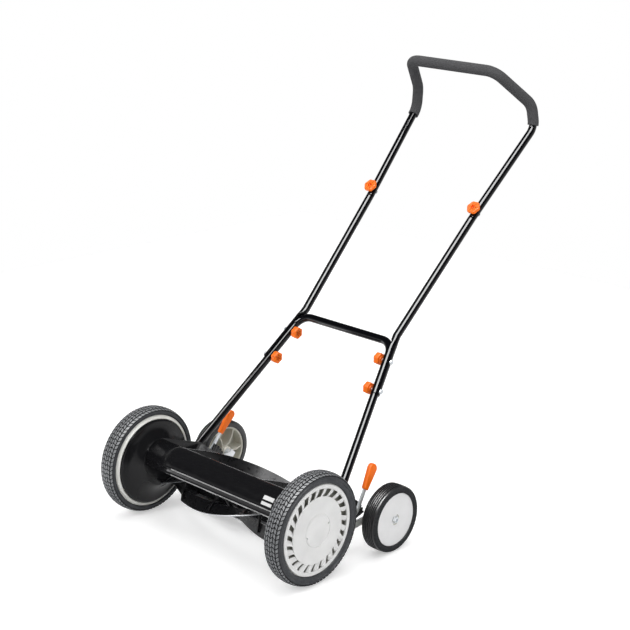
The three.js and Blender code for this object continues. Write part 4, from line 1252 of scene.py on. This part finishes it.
def dust_cover():
    bottom, shelf, sheet = DISH_IN, DISH_SHELF, DISH_SHEET
    bowl = [(56, bottom + 7.2), (62, bottom + 12.7), (70, bottom + 18.6), (78, bottom + 22.8),
            (86, bottom + 25.8), (93, bottom + 27.3), (96.4, shelf - sheet)]
    dish = turned(closed([
        (17, bottom), (48.5, bottom), (50.4, bottom + 1.4), *bowl, (99.4, shelf - sheet + 1),
        (100.8, shelf + 0.8), (100.8, DISH_LIP), (99.2, DISH_LIP), (99.2, shelf + 1.6),
        *((radius - 0.6, station + sheet) for radius, station in reversed(bowl)),
        (49.2, bottom + sheet + 1.0), (47.8, bottom + sheet), (17, bottom + sheet)]),
        FRONT_AXLE, 96)
    hole = rod(across_at((234, *REEL_AXIS)), SHAFT_HOLE, 40, 40)
    return mixed(dish, hole, how="DIFFERENCE", flatten=False)


both_sides("dished_dust_cover", dust_cover(), gloss_paint, "frame", "black_paint", "dust_cover")

# %% [markdown]
# ## Rear wheels
#
# The rear wheels only set the height and roll. Their outer side is a plain flat disc with the
# axle's nut in the middle; the inner side is open, with six curved spokes from hub to rim. The
# tyre has thin grooves all the way round, and it is darker in them and on its outer flank.
# Everything but the spokes is a lathe shape.

# %% Rear tyre
REAR_AXLE = (248, 78)
REAR_IN = 257.4
REAR_OUT = 295.9
REAR_GROOVES = 6
FLANK = 2.8


def ribbed_tyre():
    profile = [(62.4, REAR_IN + 0.6), (63.0, REAR_IN), (71.2, REAR_IN), (73.4, REAR_IN + 0.7),
               (75.6, REAR_IN + 2.2), (76.6, REAR_IN + 3.8)]
    first, last = REAR_IN + 5.2, REAR_OUT - 8.2
    pitch = (last - first) / (REAR_GROOVES - 1)
    for index in range(REAR_GROOVES):
        at = first + pitch * index
        crown = 77.9 - 0.35 * (2 * index / (REAR_GROOVES - 1) - 1) ** 2
        profile += [(crown - 0.3, at - 1.5), (crown - 2.6, at - 0.9), (crown - 2.6, at + 0.9),
                    (crown - 0.3, at + 1.5)]
        if index < REAR_GROOVES - 1:
            profile.append((crown + 0.05, at + pitch / 2))
    profile += [(77.2, REAR_OUT - 4.6), (76.2, REAR_OUT - 2.6), (74.6, REAR_OUT - 1.0),
                (72.6, REAR_OUT - 0.2), (71, REAR_OUT), (63.4, REAR_OUT), (62.6, REAR_OUT - 0.5),
                (62.4, REAR_OUT - 1.2)]
    return turned(closed(profile), REAR_AXLE, 96)


def in_groove_or_on_flank(at, _):
    reach = hypot(at.y - REAR_AXLE[0], at.z - REAR_AXLE[1])
    in_groove = 74.5 < reach < 76.9 and REAR_IN + 4 < abs(at.x) < REAR_OUT - 6
    return in_groove or abs(at.x) > REAR_OUT - FLANK


both_sides("grooved_tyre", ribbed_tyre(), [small_rubber, matte_shade_rubber], "rear_wheel",
           "tyre_rubber", "rear_tyre", sharp=30, others=[in_groove_or_on_flank])

# %% Rear wheel with curved spokes
SPOKES = 6
SPOKE_STEPS, SPOKE_THICK, SPOKE_BEND = 8, 2.6, 46
REAR_FACE, REAR_SEAT, REAR_RIM, REAR_HUB = 292.9, 62.1, 58.1, 14


def curved_spokes():
    shape = bmesh.new()
    root = REAR_HUB - 0.8
    chord = REAR_RIM + 0.6 - root
    half = asin(chord / 2 / SPOKE_BEND)
    middle = Vector((0, root + chord / 2, SPOKE_BEND * cos(half)))
    thick = SPOKE_THICK / 2
    corners = ((REAR_IN + 5, -thick), (REAR_IN + 5, thick), (REAR_FACE - 2.5, thick),
               (REAR_FACE - 2.5, -thick))
    start = shape.faces.new([
        shape.verts.new((station, middle.y - (SPOKE_BEND + out) * sin(half),
                         middle.z - (SPOKE_BEND + out) * cos(half)))
        for station, out in corners])
    bmesh.ops.spin(shape, geom=[start], cent=middle, axis=ACROSS, angle=2 * half,
                   steps=SPOKE_STEPS)
    repeated(shape, SPOKES, (0, 0))
    shift(shape, (0, *REAR_AXLE))
    return shape


def spoked_wheel():
    face, hub, rim, seat = REAR_FACE, REAR_HUB, REAR_RIM, REAR_SEAT
    body = turned(closed([
        (6.3, REAR_IN - 6), (hub - 1, REAR_IN - 6), (hub, REAR_IN - 5), (hub, face - 3.5),
        (rim, face - 3.5), (rim, REAR_IN + 3.6), (rim + 0.6, REAR_IN + 3), (seat, REAR_IN + 3),
        (seat, face - 0.6), (seat - 0.6, face), (12.5, face), (11.6, face - 2.2),
        (6.3, face - 2.2)]), REAR_AXLE, 96)
    return gathered(body, curved_spokes())


def on_outer_disc(at, normal):
    return abs(normal.x) > 0.5 and abs(at.x) > REAR_FACE - 2.9


both_sides("spoked_wheel", spoked_wheel(), [wheel_plastic, disc_plastic], "rear_wheel",
           "cream_plastic", "rear_wheel", sharp=30, others=[on_outer_disc])

# %% [markdown]
# ## Height levers
#
# Each lever is a zinc-plated plate that turns on a bolt, carries the rear wheel's axle and ends
# in an orange grip. Pushed into one of the bracket's notches, it sets the height of the cut. The
# plates are hulls round their circles; the upper arm leans in a little, which is a shear. The
# grip widens from a square-cut foot to a round top, and is softened all round.

# %% Lever plate, axle and nut
LEVER_IN = 236
LEVER_OUT = 240
LEAN = 0.11
DIAMOND = 11
bend_at = (184, AXLE_UP - 15)
tip_at = (232, AXLE_UP + 56)


def leaned(shape):
    slide = Matrix.Identity(4)
    slide[0][2] = -LEAN
    slide[0][3] = LEAN * bend_at[1]
    bmesh.ops.transform(shape, matrix=slide, verts=shape.verts)
    return shape


def lever_part(circles, points):
    return plate_round(circles, LEVER_IN, LEVER_OUT, points)


def height_lever():
    corners = [(REAR_AXLE[0] + back, REAR_AXLE[1] + up, 1.5)
               for back, up in ((-DIAMOND, 0), (DIAMOND, 0), (0, -DIAMOND), (0, DIAMOND))]
    flat = mixed(
        lever_part([(*pivot, 9), (*REAR_AXLE, 7.5)], 48),
        lever_part(corners, 24),
        lever_part([(*pivot, 7), (*bend_at, 4.2)], 48),
        leaned(lever_part([(*bend_at, 4.2), (*tip_at, 3.6)], 40)),
    )
    soften(flat, 0.45, sharper_than=55)
    axle = turned([(0, 239), (9.5, 239), (9.5, 250.8), (6, 250.8), (6, 293.9), (0, 293.9)],
                  REAR_AXLE, 48)
    nut = turned(closed([(4.2, 291.2), (8.2, 291.2), (8.2, 295.8), (7.2, 297.3), (5.2, 297.3),
                         (4.2, 296.3)]), REAR_AXLE, 6)
    end = turned([(0, 293), (2.9, 293), (2.9, 294.6), (2.4, 295.1), (0, 295.1)], REAR_AXLE, 32)
    return gathered(flat, axle, nut, end)


both_sides("height_lever_plate", height_lever(), zinc_plate, "height_lever", "zinc",
           "height_lever", sharp=32)

# %% Lever grip
GRIP_TOP, GRIP_FOOT, GRIP_HALF = 3.6, -43.5, 4.2
GRIP_IN, GRIP_OUT = 232.6, 243.4


def lever_grip():
    run = Vector((0, tip_at[0] - bend_at[0], tip_at[1] - bend_at[1])).normalized()
    side = ACROSS.cross(run)
    start = Vector((0, *tip_at))
    circles = []
    for along, aside, radius in ((GRIP_TOP, 0, 12.2), (GRIP_FOOT, GRIP_HALF, 2.5),
                                 (GRIP_FOOT, -GRIP_HALF, 2.5)):
        point = start + run * along + side * aside
        circles.append((point.y, point.z, radius))
    shape = plate_round(circles, GRIP_IN, GRIP_OUT, 56)
    return leaned(soften(shape, 4, sharper_than=55, segments=5))


both_sides("paddle_grip", lever_grip(), orange_plastic, "height_lever", "orange_plastic",
           "lever_grip", sharp=50)

# %% [markdown]
# The bracket that the lever rides on is a notched quadrant on two bosses. Its outline comes from
# the frame as it is; only its edges need softening, so a copy of the frame's mesh is merged,
# bevelled and carried back to the drawing board.

# %% Height brackets
for side in ("left", "right"):
    copy = bmesh.new()
    copy.from_mesh(frame["nodes"][f"{side}_height_bracket"].data)
    weld(copy, within=1e-5)
    merge_flat(copy, within=2)
    soften(copy, 0.0004, sharper_than=50)
    shift(copy, (0, -AXLE_BACK, 0))
    resize(copy, 1000)
    piece(f"{side}_notched_bracket", copy, gloss_paint, "frame", "black_paint",
          f"{side}_height_bracket", sharp=32)
